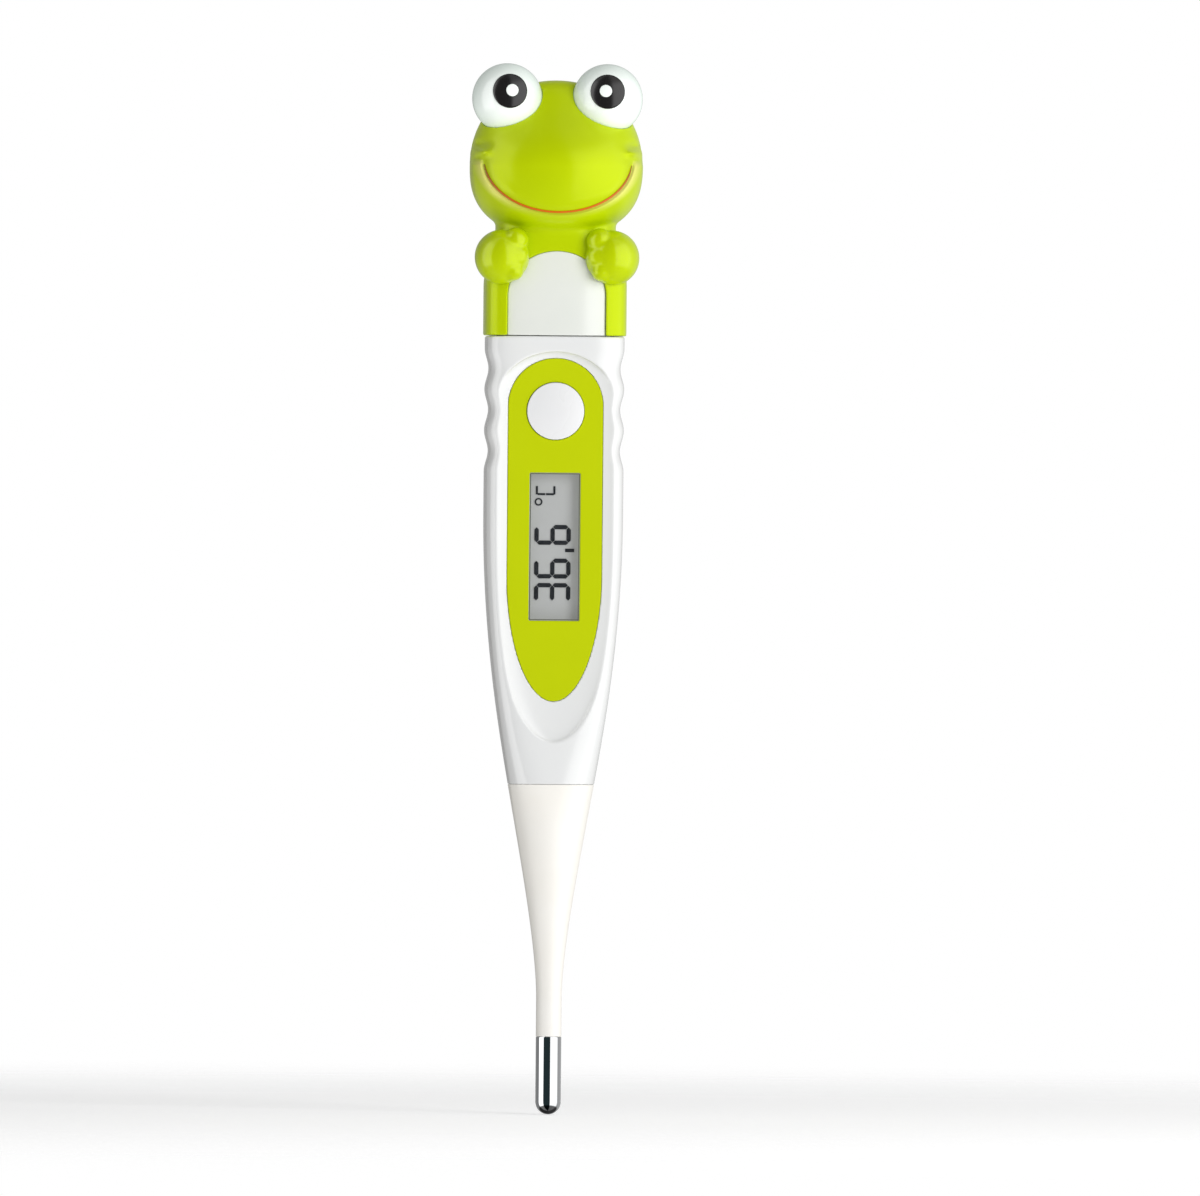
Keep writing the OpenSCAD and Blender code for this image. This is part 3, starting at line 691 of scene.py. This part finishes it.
def moulded(name, colour, shade, roughness, grain=0.0, ripple=0.02, coat=0.0, shine=0.5, rim=None, tint=None):
    """Moulded plastic: cloudy colour, uneven gloss, a faint ripple from the tool and, if asked, fine grain.

    rim is a painted shade: the colour that the base turns towards where the surface turns away from the view;
    tint the colour of the gloss under the coat. All four colours are 8-bit screen colours."""
    material, nodes, surface = new_material(name)
    cloud = noise(nodes, 110, 4)
    base = mix_colour(nodes, spread(nodes, cloud, 0, 1), srgb(*colour), srgb(*shade))
    # painted shade: the base colour turns towards rim where the surface turns away from the view
    if rim:
        turned = fill(nodes.new("ShaderNodeLayerWeight"), {"Blend": 0.3})
        base = mix_colour(nodes, turned.outputs["Facing"], base, srgb(*rim))
    link(base, surface.inputs["Base Color"])
    if tint:
        fill(surface, {"Specular Tint": srgb(*tint)})
    smear = noise(nodes, 300, 1, (1, 1, 0.6))
    link(spread(nodes, smear, roughness * 0.92, roughness * 1.1), surface.inputs["Roughness"])
    fill(surface, {"Specular IOR Level": shine, "Coat Weight": coat, "Coat Roughness": 0.05})
    last = bump(nodes, noise(nodes, 260, 2), ripple, 0.1)
    if grain:
        fine = bump(nodes, noise(nodes, 9000, 2), grain, 0.02)
        link(last.outputs["Normal"], fine.inputs["Normal"])
        last = fine
    link(last.outputs["Normal"], surface.inputs["Normal"])
    return material


def brushed(name, colour, roughness, stretch, grain=0.08):
    """Metal with fine lines along one direction."""
    material, nodes, surface = new_material(name)
    fill(surface, {"Metallic": 1})
    lines = noise(nodes, 2600, 2, stretch)
    darker = tuple(c * 0.86 for c in colour[:3]) + (1,)
    tone = mix_colour(nodes, spread(nodes, lines, 0, 1), colour, darker)
    link(tone, surface.inputs["Base Color"])
    link(spread(nodes, lines, roughness * 0.8, roughness * 1.25), surface.inputs["Roughness"])
    link(bump(nodes, lines, grain, 0.01).outputs["Normal"], surface.inputs["Normal"])
    return material


def clear_sheet(name, tint, gloss=0.03):
    """Thin clear plastic that lets light straight through and mirrors a little."""
    material, nodes, surface = new_material(name)
    nodes.remove(surface)
    clear = fill(nodes.new("ShaderNodeBsdfTransparent"), {"Color": tint})
    mirror = nodes.new("ShaderNodeBsdfGlossy")
    facing = fill(nodes.new("ShaderNodeFresnel"), {"IOR": 1.35})
    path = nodes.new("ShaderNodeLightPath")
    side = nodes.new("ShaderNodeNewGeometry")
    mix = nodes.new("ShaderNodeMixShader")
    uneven = spread(nodes, noise(nodes, 500, 2), gloss * 0.7, gloss * 1.4)
    link(uneven, mirror.inputs["Roughness"])
    # light on its way to what lies behind isn't dimmed
    lit = calculate(nodes, "MULTIPLY", facing.outputs["Fac"], path.outputs["Is Camera Ray"])
    # the sheet's far face, seen from inside, doesn't mirror
    front_only = calculate(nodes, "SUBTRACT", lit, side.outputs["Backfacing"], clamp=True)
    link(front_only, mix.inputs["Fac"])
    link(clear.outputs["BSDF"], mix.inputs[1])
    link(mirror.outputs["BSDF"], mix.inputs[2])
    link(mix.outputs["Shader"], nodes["Material Output"].inputs["Surface"])
    return material


def framed_lens():
    """Clear sheet with a thin dark line round the edge of the window."""
    material = clear_sheet("clear_lens", (0.98, 0.985, 0.985, 1))
    nodes = material.node_tree.nodes
    at = components(nodes, place(nodes))

    def test(operation, first, second=0):
        return calculate(nodes, operation, first, second)

    line = 0.2 * MM
    sideways = test("GREATER_THAN", test("ABSOLUTE", at["X"]), WINDOW_W * MM - line)
    height = test("ABSOLUTE", test("SUBTRACT", at["Z"], WINDOW_Z * MM))
    upright = test("GREATER_THAN", height, WINDOW_L * MM - line)
    front = test("LESS_THAN", at["Y"], (PLATE_BACK - 0.1) * MM)
    edge = test("MULTIPLY", test("MAXIMUM", sideways, upright), front)
    # the thin dark line round the window's edge
    paint = fill(nodes.new("ShaderNodeBsdfPrincipled"), {"Base Color": srgb(92, 96, 78), "Roughness": 0.35})
    mix = nodes.new("ShaderNodeMixShader")
    output = nodes["Material Output"]
    sheet = output.inputs["Surface"].links[0].from_socket
    link(edge, mix.inputs["Fac"])
    link(sheet, mix.inputs[1])
    link(paint.outputs["BSDF"], mix.inputs[2])
    link(mix.outputs["Shader"], output.inputs["Surface"])
    return material


def painted_glow(material, colour, strength):
    """Adds a painted glow: a faint even light from the part itself, which makes it look brighter than its
    lighting does.
    """
    surface = material.node_tree.nodes["Principled BSDF"]
    fill(surface, {"Emission Color": colour, "Emission Strength": strength})
    return material


def display_film():
    """Grey reflective film of the display, with a painted glow that evens out the shade cast by the window's
    recess.
    """
    film = moulded("display_grey", (165, 165, 165), (159, 160, 159), 0.35, grain=0.1, shine=0.2)
    # painted glow, evening out the shade of the window's recess
    return painted_glow(film, (0.5, 0.5, 0.495, 1), 0.3)


def mouth_paint():
    """Orange in the middle of the smile, browner towards its corners."""
    material = moulded("mouth_paint", (214, 92, 10), (205, 70, 12), 0.3)
    nodes = material.node_tree.nodes
    height = components(nodes, place(nodes))["Z"]
    upward = remap(nodes, height, (SMILE_Z - SMILE_DROP) * MM, SMILE_Z * MM)
    paint = mix_colour(nodes, upward, srgb(226, 104, 0), srgb(142, 84, 30))
    link(paint, nodes["Principled BSDF"].inputs["Base Color"])
    return material


def frog_lime(name, coat):
    """Glossy lime plastic whose highlights stay yellow-green."""
    return moulded(name, (192, 214, 0), (188, 210, 0), 0.3, coat=coat, shine=0.9, tint=(240, 252, 90))


def lime_with_lip_highlight():
    """The frog's lime, with a painted highlight, a pale cream band on the lip under the smile, most of all
    towards its corners.
    """
    material = frog_lime("frog_lime_face", 0.1)
    nodes = material.node_tree.nodes
    # coordinates from the smile's centre, in which the smile is half of a unit circle
    centred = nodes.new("ShaderNodeMapping")
    fill(centred, {"Scale": (1 / (SMILE_W * MM), 0, 1 / (SMILE_DROP * MM)),
                   "Location": (0, 0, -SMILE_Z / SMILE_DROP)})
    link(place(nodes), centred.inputs["Vector"])
    at = centred.outputs["Vector"]
    outwards = remap(nodes, distance_from(nodes, at), 0.9, 1.4)
    band = grey_ramp(nodes, outwards, [(0.21, 0), (0.27, 1), (0.36, 0.8), (0.52, 0)])
    upward = remap(nodes, components(nodes, at)["Z"], -1.2, 0.2)
    sides = grey_ramp(nodes, upward, [(0, 0), (0.12, 0.15), (0.4, 1), (0.8, 0.9), (0.86, 0)])
    both = calculate(nodes, "MULTIPLY", band, sides)
    surface = nodes["Principled BSDF"]
    plain = surface.inputs["Base Color"].links[0].from_socket
    # painted highlight: the lime is mixed towards a pale cream along the lip under the smile
    painted_lip_highlight = mix_colour(nodes, both, plain, srgb(232, 228, 128))
    link(painted_lip_highlight, surface.inputs["Base Color"])
    return material


# the white's rim colour is a painted shade, greyer where the surface turns away
WHITE = moulded("white_gloss", (236, 237, 236), (233, 234, 234), 0.2, coat=0.3, rim=(214, 214, 212))
PLATE = moulded("plate_lime", (193, 208, 0), (190, 205, 0), 0.36, grain=0.25, shine=0.12)
LIME = frog_lime("frog_lime", 0.35)
FACE = lime_with_lip_highlight()
# eye whites: a painted glow, and where they turn away a painted shade tinted green as a painted reflection of
# the lime head
EYE_WHITE = painted_glow(
    moulded("eye_white", (253, 255, 253), (249, 254, 250), 0.14, coat=0.3, rim=(214, 230, 220)),
    (0.8, 1.0, 0.88, 1), 0.09
)
PUPIL = moulded("pupil_black", (38, 34, 32), (30, 30, 32), 0.2)
BUTTON = moulded("button_grey", (237, 237, 238), (233, 234, 235), 0.28, grain=0.1)
BELLY = moulded("belly_white", (236, 238, 232), (231, 234, 228), 0.12, coat=0.5)
# the neck's rim colour is a painted shade where the surface turns away
NECK = moulded("neck_cream", (250, 248, 243), (247, 244, 237), 0.42, grain=0.15, shine=0.4,
                rim=(226, 223, 214))
CHROME = brushed("polished_steel", (0.64, 0.65, 0.66, 1), 0.05, (1, 1, 0.02), 0.02)
SHEET_STEEL = brushed("sheet_steel", (0.60, 0.61, 0.63, 1), 0.28, (0.1, 1, 1))
CELL_STEEL = brushed("cell_steel", (0.70, 0.71, 0.73, 1), 0.2, (1, 0.05, 1))
BRASS = brushed("buzzer_brass", (0.78, 0.58, 0.22, 1), 0.25, (1, 1, 0.1))
LENS = framed_lens()
LCD_GREY = display_film()
LCD_INK = moulded("display_ink", (34, 37, 42), (28, 30, 34), 0.4)
MOUTH = mouth_paint()
# parts that show only with the cover off, or never
INNER = {
    "lcd_rear_glass": clear_sheet("rear_glass", (0.85, 0.9, 0.88, 1)),
    "lcd_reflector": moulded("reflector_film", (150, 152, 150), (140, 142, 140), 0.4, grain=0.3),
    "lcd_frame": moulded("frame_white", (225, 225, 220), (218, 218, 212), 0.5, grain=0.2),
    "elastomer_connectors": moulded("silicone_pink", (214, 150, 160), (190, 120, 135), 0.6, grain=0.3),
    "circuit_board": moulded("solder_mask", (18, 92, 52), (12, 78, 42), 0.3, grain=0.3, coat=0.3),
    "chip_encapsulant": moulded("epoxy_black", (24, 24, 26), (18, 18, 20), 0.2, coat=0.4),
    "chip_resistors": moulded("resistor_black", (30, 30, 32), (22, 22, 24), 0.5, grain=0.3),
    "chip_capacitors": moulded("capacitor_tan", (168, 138, 100), (150, 120, 86), 0.5, grain=0.3),
    "switch_base": moulded("switch_black", (32, 32, 34), (24, 24, 26), 0.5, grain=0.3),
    "switch_cover": SHEET_STEEL,
    "snap_dome": SHEET_STEEL,
    "switch_plunger": moulded("plunger_red", (196, 52, 40), (180, 44, 34), 0.4),
    "buzzer_diaphragm": BRASS,
    "buzzer_ceramic": moulded("piezo_white", (236, 234, 222), (224, 222, 208), 0.5, grain=0.3),
    "battery_carrier": moulded("carrier_grey", (60, 63, 68), (52, 55, 60), 0.45, grain=0.3),
    "contact_positive": SHEET_STEEL,
    "contact_negative": SHEET_STEEL,
    "cell_can": CELL_STEEL,
    "cell_gasket": moulded("gasket_dark", (44, 52, 58), (36, 44, 50), 0.6),
    "cell_cap": CELL_STEEL,
    "cover_seal": moulded("seal_rubber", (70, 76, 82), (60, 66, 72), 0.55, grain=0.3),
    "cover_sleeve": moulded("sleeve_white", (232, 232, 226), (226, 226, 220), 0.4, grain=0.2),
    "thermistor_bead": moulded("bead_black", (28, 28, 30), (22, 22, 24), 0.2),
    "thermal_epoxy": moulded("potting_dark", (46, 40, 36), (38, 33, 30), 0.5),
}
WIRE = brushed("enamelled_wire", (0.62, 0.24, 0.12, 1), 0.3, (1, 1, 0.1))

# ---------- pieces ----------

def stand_for(piece, body, slot, *nodes):
    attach(piece, body)
    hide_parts(*nodes)


def build_housing():
    piece = skin("housing_shell", housing, (-10.3, -6.7, NECK_TOP - TONGUE_L - 0.6),
                 (10.3, BACK_Y + 0.5, SPIGOT_TOP + 0.5), 0.24, WHITE)
    stand_for(piece, "housing", "white_abs", "housing")


def build_face_plate():
    piece = skin("face_plate_shell", face_plate, (-PLATE_R - 0.4, PLATE_Y - 0.4, plate_low[2] - 0.4),
                 (PLATE_R + 0.4, PLATE_BACK + 0.4, plate_high[2] + 0.4), 0.13, PLATE)
    stand_for(piece, "housing", "lime_plate", "face_plate")


def build_button():
    """Domed cap with a rounded rim, a stem and a flange that keeps it in the housing."""
    edge = 0.14
    crown = 0.35
    sphere = (BUTTON_R ** 2 + crown ** 2) / (2 * crown)
    reach = BUTTON_R - edge
    steps = 24
    dome = []
    for i in range(steps + 1):
        r = reach * i / steps
        dome.append((r, BUTTON_Y + sphere - math.sqrt(sphere ** 2 - r ** 2)))
    edge_y = dome[-1][1] + edge
    rim = arc(reach, edge_y, edge, -90, 0, 6)
    flange_front = -3.4
    flange_back = flange_front + 0.7
    stem = 1.4
    profile = dome + rim[1:] + [(BUTTON_R, flange_front), (BUTTON_FLANGE, flange_front),
                                (BUTTON_FLANGE, flange_back), (stem, flange_back),
                                (stem, button_high[1]), (0, button_high[1])]
    piece = lathe("power_button_cap", profile, BUTTON, (0, 0, BUTTON_Z), "y")
    sharpen(piece)
    stand_for(piece, "power_button", "button_white", "power_button")


def build_sensor_cap():
    """Drawn steel cap: round end, straight wall with a rolled edge, and a narrower shank inside the neck."""
    wall = 0.2
    shank = SHANK[0] - GAP
    top = CAP_TOP + SHANK[1] - GAP
    profile = arc(0, 0, TIP_R, -90, 0, 24) + [(TIP_R, CAP_TOP * i / 12) for i in range(1, 12)]
    roll = 0.12
    profile += arc(TIP_R - roll, CAP_TOP - roll, roll, 0, 90, 4)
    profile += [(shank, CAP_TOP), (shank, top), (shank - wall, top), (shank - wall, CAP_TOP - wall)]
    profile += [(TIP_R - wall, CAP_TOP - wall)] + arc(0, 0, TIP_R - wall, 0, -90, 16)
    profile = [(0 if abs(r) < 1e-6 else r, h) for r, h in profile]
    piece = lathe("sensor_cap_shell", profile, CHROME)
    sharpen(piece)
    stand_for(piece, "tip", "polished_steel", "sensor_cap")


def build_frog():
    low = (-HEAD_R - 0.7, FACE_Y - 0.8, COVER_Z - 0.4)
    high = (HEAD_R + 0.7, PART_Y + 0.4, HEAD_TOP + 0.5)
    front = skin("frog_front", front_shell, low, high, 0.2, FACE)
    stand_for(front, "battery_cover", "frog_lime", "frog_front_shell")
    low = (low[0], PART_Y - 0.4, low[2])
    high = (high[0], COVER_BACK + 0.6, high[2])
    back = skin("frog_back", back_shell, low, high, 0.24, LIME)
    stand_for(back, "battery_cover", "frog_lime", "frog_back_shell")
    belly = skin("belly_plate", belly_panel, (-BELLY_W - 0.4, -TRUNK_FRONT - 0.6, COVER_Z - 0.4),
                 (BELLY_W + 0.4, BELLY_Y + 0.4, BELLY_TOP + 0.4), 0.16, BELLY)
    stand_for(belly, "battery_cover", "belly_white", "belly_panel")
    for side, word in ((1, "right"), (-1, "left")):
        # box round the paw at +X
        low = np.array([2.2, -9.8, 115.6])
        high = np.array([12.4, 4.6, 125.6])
        if side < 0:
            low[0], high[0] = -high[0], -low[0]
        piece = skin("frog_paw_" + word, lambda x, y, z, s=side: paw(s * x, y, z), low, high, 0.17, LIME)
        stand_for(piece, "battery_cover", "frog_lime", "paw_" + word)


def build_eyes():
    """Glossy balls with a flat painted pupil and its white dot, each a thin rounded disc on the ball."""
    for side, word in ((1, "right"), (-1, "left")):
        centre = EYE * [side, 1, 1]
        profile = arc(0, 0, EYE_R, -90, 90, 64)
        profile = [(0 if abs(r) < 1e-6 else r, h) for r, h in profile]
        piece = lathe("eyeball_" + word, profile, EYE_WHITE, centre, "y", 128)
        stand_for(piece, "battery_cover", "eye_white", "eye_" + word)
        low, high = extent("pupil_" + word)
        build_eye_disc("pupil_disc_" + word, centre, (low + high) / 2, (high[0] - low[0]) / 2, (0.02, 0.16),
                       PUPIL, "pupil_dark", ["pupil_" + word])
        dot = (low + high) / 2 + [-side * 0.3, 0, 0.1]
        dot_r = 0.88
        build_eye_disc("highlight_" + word, centre, dot, dot_r, (0.1, 0.26), EYE_WHITE, "eye_white",
                       ["pupil_highlights"])


# Section of the pupil and its dot from the rim inwards: share of the radius, and share of the thickness
DISC_SECTION = ((1, 0), (1, 0.5), (0.985, 0.8), (0.95, 0.95), (0.9, 1), (0.75, 1), (0.5, 1), (0.25, 1),
                (0.04, 1))


def build_eye_disc(name, centre, at, r, heights, material, slot, nodes):
    """A thin cap on an eyeball, seen round from the front. heights: of its rim and middle above the ball."""
    turn = full_turn(64)
    rings = []
    for share, rise in DISC_SECTION:
        x = at[0] + r * share * np.cos(turn)
        z = at[2] + r * share * np.sin(turn)
        reach = EYE_R + heights[0] + (heights[1] - heights[0]) * rise
        depth = np.sqrt(reach ** 2 - (x - centre[0]) ** 2 - (z - centre[2]) ** 2)
        rings.append(np.stack([x, centre[1] - depth, z], axis=1))
    piece = tube(name, rings, material, closed=False)
    stand_for(piece, "battery_cover", slot, *nodes)


def build_mouth():
    """A thin painted bead in the groove of the smile, thinner at its ends."""
    steps = 120
    sides = 12
    start = math.radians(6)
    along = np.linspace(start, math.pi - start, steps)
    x = SMILE_W * np.cos(along)
    z = SMILE_Z - SMILE_DROP * np.sin(along)
    y = np.full(steps, -FACE_DEPTH - 2)
    for _ in range(60):
        # walk in along Y to the surface of the face
        points = np.stack([x, y, z], axis=1)
        distance, gradient = slope_of(frog, points, 0.02)
        y = y - np.clip(distance / np.minimum(gradient[:, 1], -0.3), -0.5, 0.5)
    points = np.stack([x, y, z], axis=1)
    normal = unit(slope_of(plain_frog, points, 0.1)[1])
    forward = unit(np.gradient(points, axis=0))
    across = np.cross(forward, normal)
    girth = 0.15 * np.clip(np.sin(along) * 3.2, 0.3, 1)
    rings = []
    turn = full_turn(sides)[:, None]
    for i in range(steps):
        ring = points[i] + girth[i] * (np.cos(turn) * across[i] + 0.6 * np.sin(turn) * normal[i])
        rings.append(ring + normal[i] * 0.08)
    piece = tube("smile_bead", rings, MOUTH, closed=False)
    stand_for(piece, "battery_cover", "mouth_orange", "mouth_line")


# ---------- the flexible neck ----------

NECK_AROUND = 96          # points in each ring of a sleeve
CHAIN = ["housing"] + [f"neck_{k}" for k in range(1, len(HINGES))] + ["tip"]
HALF_PITCH = (HINGES[0] - HINGES[1]) / 2


def neck_ring(z):
    turn = full_turn(NECK_AROUND)
    a, b, n = stick_w(z), stick_d(z), stick_power(z)
    r = ((np.abs(np.cos(turn)) / a) ** n + (np.abs(np.sin(turn)) / b) ** n) ** (-1 / n)
    y = np.minimum(BACK_Y, r * np.sin(turn))
    return np.stack([r * np.cos(turn), y, np.full(NECK_AROUND, z)], axis=1)


def round_ring(r, z, x=0.0, around=NECK_AROUND):
    turn = full_turn(around)
    return np.stack([x + r * np.cos(turn), r * np.sin(turn), np.full(around, z)], axis=1)


def neck_spans():
    """(lower end, upper end, bodies) of each length: one per hinge, and a stiff one at either end."""
    cuts = [h + HALF_PITCH for h in HINGES] + [HINGES[-1] - HALF_PITCH]
    spans = [(cuts[0], NECK_TOP, ("housing",))]
    spans += [(cuts[k + 1], cuts[k], (CHAIN[k], CHAIN[k + 1])) for k in range(len(HINGES))]
    spans.append((CAP_TOP + GAP, cuts[-1], ("tip",)))
    return spans


def follow(piece, bodies):
    """bodies holds one body, or two that a hinge joins, the upper one first."""
    if len(bodies) == 1:
        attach(piece, bodies[0])
    elif bodies[1] in CHAIN[-2:]:
        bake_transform(piece)
    else:
        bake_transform(piece)


def neck_bore(low, high):
    """(height, radius) pairs of the sleeve's inside, downwards."""
    steps = [(high, NECK_BORE), (low, NECK_BORE)]
    if high == NECK_TOP:
        socket = TONGUE_R + 0.08
        ledge = NECK_TOP - TONGUE_L - GAP
        steps = [(high, socket), (ledge, socket), (ledge, NECK_BORE), (low, NECK_BORE)]
    elif low < HINGES[-1] - HALF_PITCH:
        ledge = CAP_TOP + SHANK[1]
        steps = [(high, NECK_BORE), (ledge, NECK_BORE), (ledge, SHANK[0]), (low, SHANK[0])]
    return steps


def build_neck():
    """One closed sleeve per length. Each replaces a CAD link, but for the one at the lowest hinge."""
    ends = {0: "neck_root", len(HINGES): None, len(HINGES) + 1: "neck_end"}
    ring_pitch = 0.375
    for number, (low, high, bodies) in enumerate(neck_spans()):
        count = max(3, int(round((high - low) / ring_pitch)))
        outside = [neck_ring(z) for z in np.linspace(low, high, count + 1)]
        inside = [round_ring(r, z) for z, r in neck_bore(low, high)]
        piece = tube(f"neck_sleeve_{number}", outside + inside, NECK)
        smooth_sleeve(piece, len(outside))
        sharpen(piece, 50)
        follow(piece, bodies)
        node = ends.get(number, f"neck_link_{number}")
        if node:
            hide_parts(node)


def smooth_sleeve(piece, rings):
    """Gives a sleeve's outside the normals of the whole neck, so that no seam shows between two lengths."""
    mesh = piece.data
    outer = rings * NECK_AROUND
    points = np.array([v.co for v in mesh.vertices]) / MM
    normals = unit(slope_of(stick, points[:outer], 0.05)[1])
    loops = []
    for polygon in mesh.polygons:
        on_outside = all(v < outer for v in polygon.vertices)
        for v in polygon.vertices:
            loops.append(tuple(normals[v]) if on_outside else tuple(polygon.normal))
    mesh.normals_split_custom_set(loops)


def build_wires():
    wire_r = 0.2
    wire_x = 0.45
    top, bottom = extent("lead_wires")[1][2], extent("lead_wires")[0][2]
    spans = neck_spans()
    spans[0] = (spans[0][0], top, spans[0][2])
    spans[-1] = (bottom, spans[-1][1], spans[-1][2])
    for number, (low, high, bodies) in enumerate(spans):
        heights = np.linspace(low, high, 7)
        pair = []
        for x in (-wire_x, wire_x):
            rings = [round_ring(wire_r, z, x, 16) for z in heights]
            pair.append(tube(f"lead_wires_{number}", rings, WIRE, closed=False))
        with bpy.context.temp_override(active_object=pair[0], selected_editable_objects=pair):
            bpy.ops.object.join()
        follow(pair[0], bodies)
        if number == 0:
            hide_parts("lead_wires")


def dress_cad_nodes():
    """The CAD nodes that stay get rounded edges and their own materials."""
    nodes = frame["nodes"]
    looks = dict(INNER)
    looks.update({"window_lens": LENS, "lcd_front_glass": LCD_GREY, "lcd_segments": LCD_INK})
    for name, material in looks.items():
        node = nodes[name]
        node.data.materials.clear()
        node.data.materials.append(material)
        if name not in ("lcd_segments", "thermal_epoxy", "thermistor_bead", "snap_dome"):
            bevel(node, 0.06)


# ---------- the studio, in metres ----------

MIDDLE = 0.08             # height that the lights are aimed at


def build_floor():
    """A pale round floor that fades out into the background."""
    mesh = bpy.data.meshes.new("floor")
    r = 0.6
    corners = [(r * math.cos(a), r * math.sin(a), 0) for a in full_turn(96)]
    mesh.from_pydata(corners, [], [list(range(96))])
    floor = bpy.data.objects.new("floor", mesh)
    clearance = 0.00002
    floor.location.z = cad_box[0][2] - clearance
    bpy.context.scene.collection.objects.link(floor)
    material, nodes, surface = new_material("floor_white")
    fill(surface, {"Base Color": (0.9, 0.9, 0.9, 1), "Roughness": 0.9, "Specular IOR Level": 0.1,
                   "Emission Color": (1, 1, 1, 1), "Emission Strength": 0.34})
    near, far = 0.05, 0.45
    fade = remap(nodes, distance_from(nodes, place(nodes)), near, far, 1, 0, "SMOOTHSTEP")
    link(fade, surface.inputs["Alpha"])
    floor.data.materials.append(material)
    # the light round the object already counts what a pale floor sends back
    floor.visible_glossy = False
    floor.visible_diffuse = False


def area_light(name, azimuth, height, distance, size, power):
    """A soft light aimed at the object's middle. Azimuth 0 is in front of the face and 90 on the right."""
    data = bpy.data.lights.new(name, "AREA")
    data.shape = "RECTANGLE"
    data.size, data.size_y = size
    data.energy = power
    light = bpy.data.objects.new(name, data)
    a = math.radians(azimuth)
    light.location = (distance * math.sin(a), -distance * math.cos(a), height)
    target = Vector((0, 0, MIDDLE))
    light.rotation_euler = (light.location - target).to_track_quat("Z", "Y").to_euler()
    # reflections come from the world alone
    light.visible_glossy = False
    light.visible_camera = False
    bpy.context.scene.collection.objects.link(light)


def build_world():
    """Even pale light, and for reflections a studio with a dark gap behind the camera."""
    world = bpy.data.worlds.new("studio")
    world.use_nodes = True
    bpy.context.scene.world = world
    nodes = world.node_tree.nodes
    toward = components(nodes, nodes.new("ShaderNodeTexCoord").outputs["Generated"])
    ahead = calculate(nodes, "MULTIPLY", toward["Y"], -1)
    angle = calculate(nodes, "ARCTAN2", toward["X"], ahead)
    upward = remap(nodes, toward["Z"], -1, 1)
    ramp = nodes.new("ShaderNodeValToRGB")
    link(remap(nodes, angle, -math.pi, math.pi), ramp.inputs["Fac"])
    # studio seen in reflections: azimuth in degrees from the face, and brightness. Its dark gap is bluish
    stops = [(-180, 0.45), (-160, 0.33), (-99, 0.3), (-90, 2.4), (-52, 2.4), (-46, 0.04), (12, 0.04),
             (17, 2.0), (78, 2.0), (95, 0.5), (160, 0.55), (180, 0.4)]
    set_stops(ramp, [(azimuth / 360 + 0.5, (value * 0.6, value, value * 1.1, 1) if value < 0.2
                      else (value, value, value, 1)) for azimuth, value in stops])
    # the softboxes end above and below, and the floor side is dark
    bands = [(-1, 0.08), (-0.6, 0.1), (-0.45, 1), (0.7, 1), (0.85, 0.35), (1, 0.35)]
    banded = grey_ramp(nodes, upward, [((height + 1) / 2, value) for height, value in bands])
    reflected = mix_colour(nodes, 1.0, ramp.outputs["Color"], banded, "MULTIPLY")
    # even light for everything else, stronger from the pale table below
    even = grey_ramp(nodes, upward, [(0, 1.6), (0.5, 0.49), (1, 0.34)])
    path = nodes.new("ShaderNodeLightPath")
    studio = mix_colour(nodes, path.outputs["Is Glossy Ray"], even, reflected)
    seen = mix_colour(nodes, path.outputs["Is Camera Ray"], studio, (1, 1, 1, 1))
    link(seen, nodes["Background"].inputs["Color"])


def build_camera():
    """Level with the object, just left of its face, on a long lens."""
    distance = 4.0
    azimuth = math.radians(-2.7)
    lean = math.radians(0.5)
    frame_width = 0.1714
    aside = 0.0068
    height = 0.0720
    data = bpy.data.cameras.new("camera")
    data.sensor_width = 36
    data.lens = data.sensor_width * distance / frame_width
    data.clip_start = 0.05
    camera = bpy.data.objects.new("camera", data)
    back = Vector((math.sin(azimuth), -math.cos(azimuth), 0))
    right = Vector((math.cos(azimuth), math.sin(azimuth), 0))
    # the object stands left of the view's centre
    centre = right * aside + Vector((0, 0, height))
    camera.location = centre + back * distance
    level = Matrix.Rotation(azimuth, 3, "Z") @ Matrix.Rotation(math.pi / 2, 3, "X")
    camera.rotation_euler = (level @ Matrix.Rotation(lean, 3, "Z")).to_euler()
    bpy.context.scene.collection.objects.link(camera)
    bpy.context.scene.camera = camera


build_housing()
build_face_plate()
build_button()
build_sensor_cap()
build_frog()
build_eyes()
build_mouth()
build_neck()
build_wires()
dress_cad_nodes()

build_floor()
build_world()
area_light("key", azimuth=35, height=0.28, distance=0.7, size=(0.35, 0.6), power=2.95)
area_light("side", azimuth=92, height=0.18, distance=0.7, size=(0.3, 0.5), power=1.0)
build_camera()
bpy.context.scene.view_settings.view_transform = "Standard"
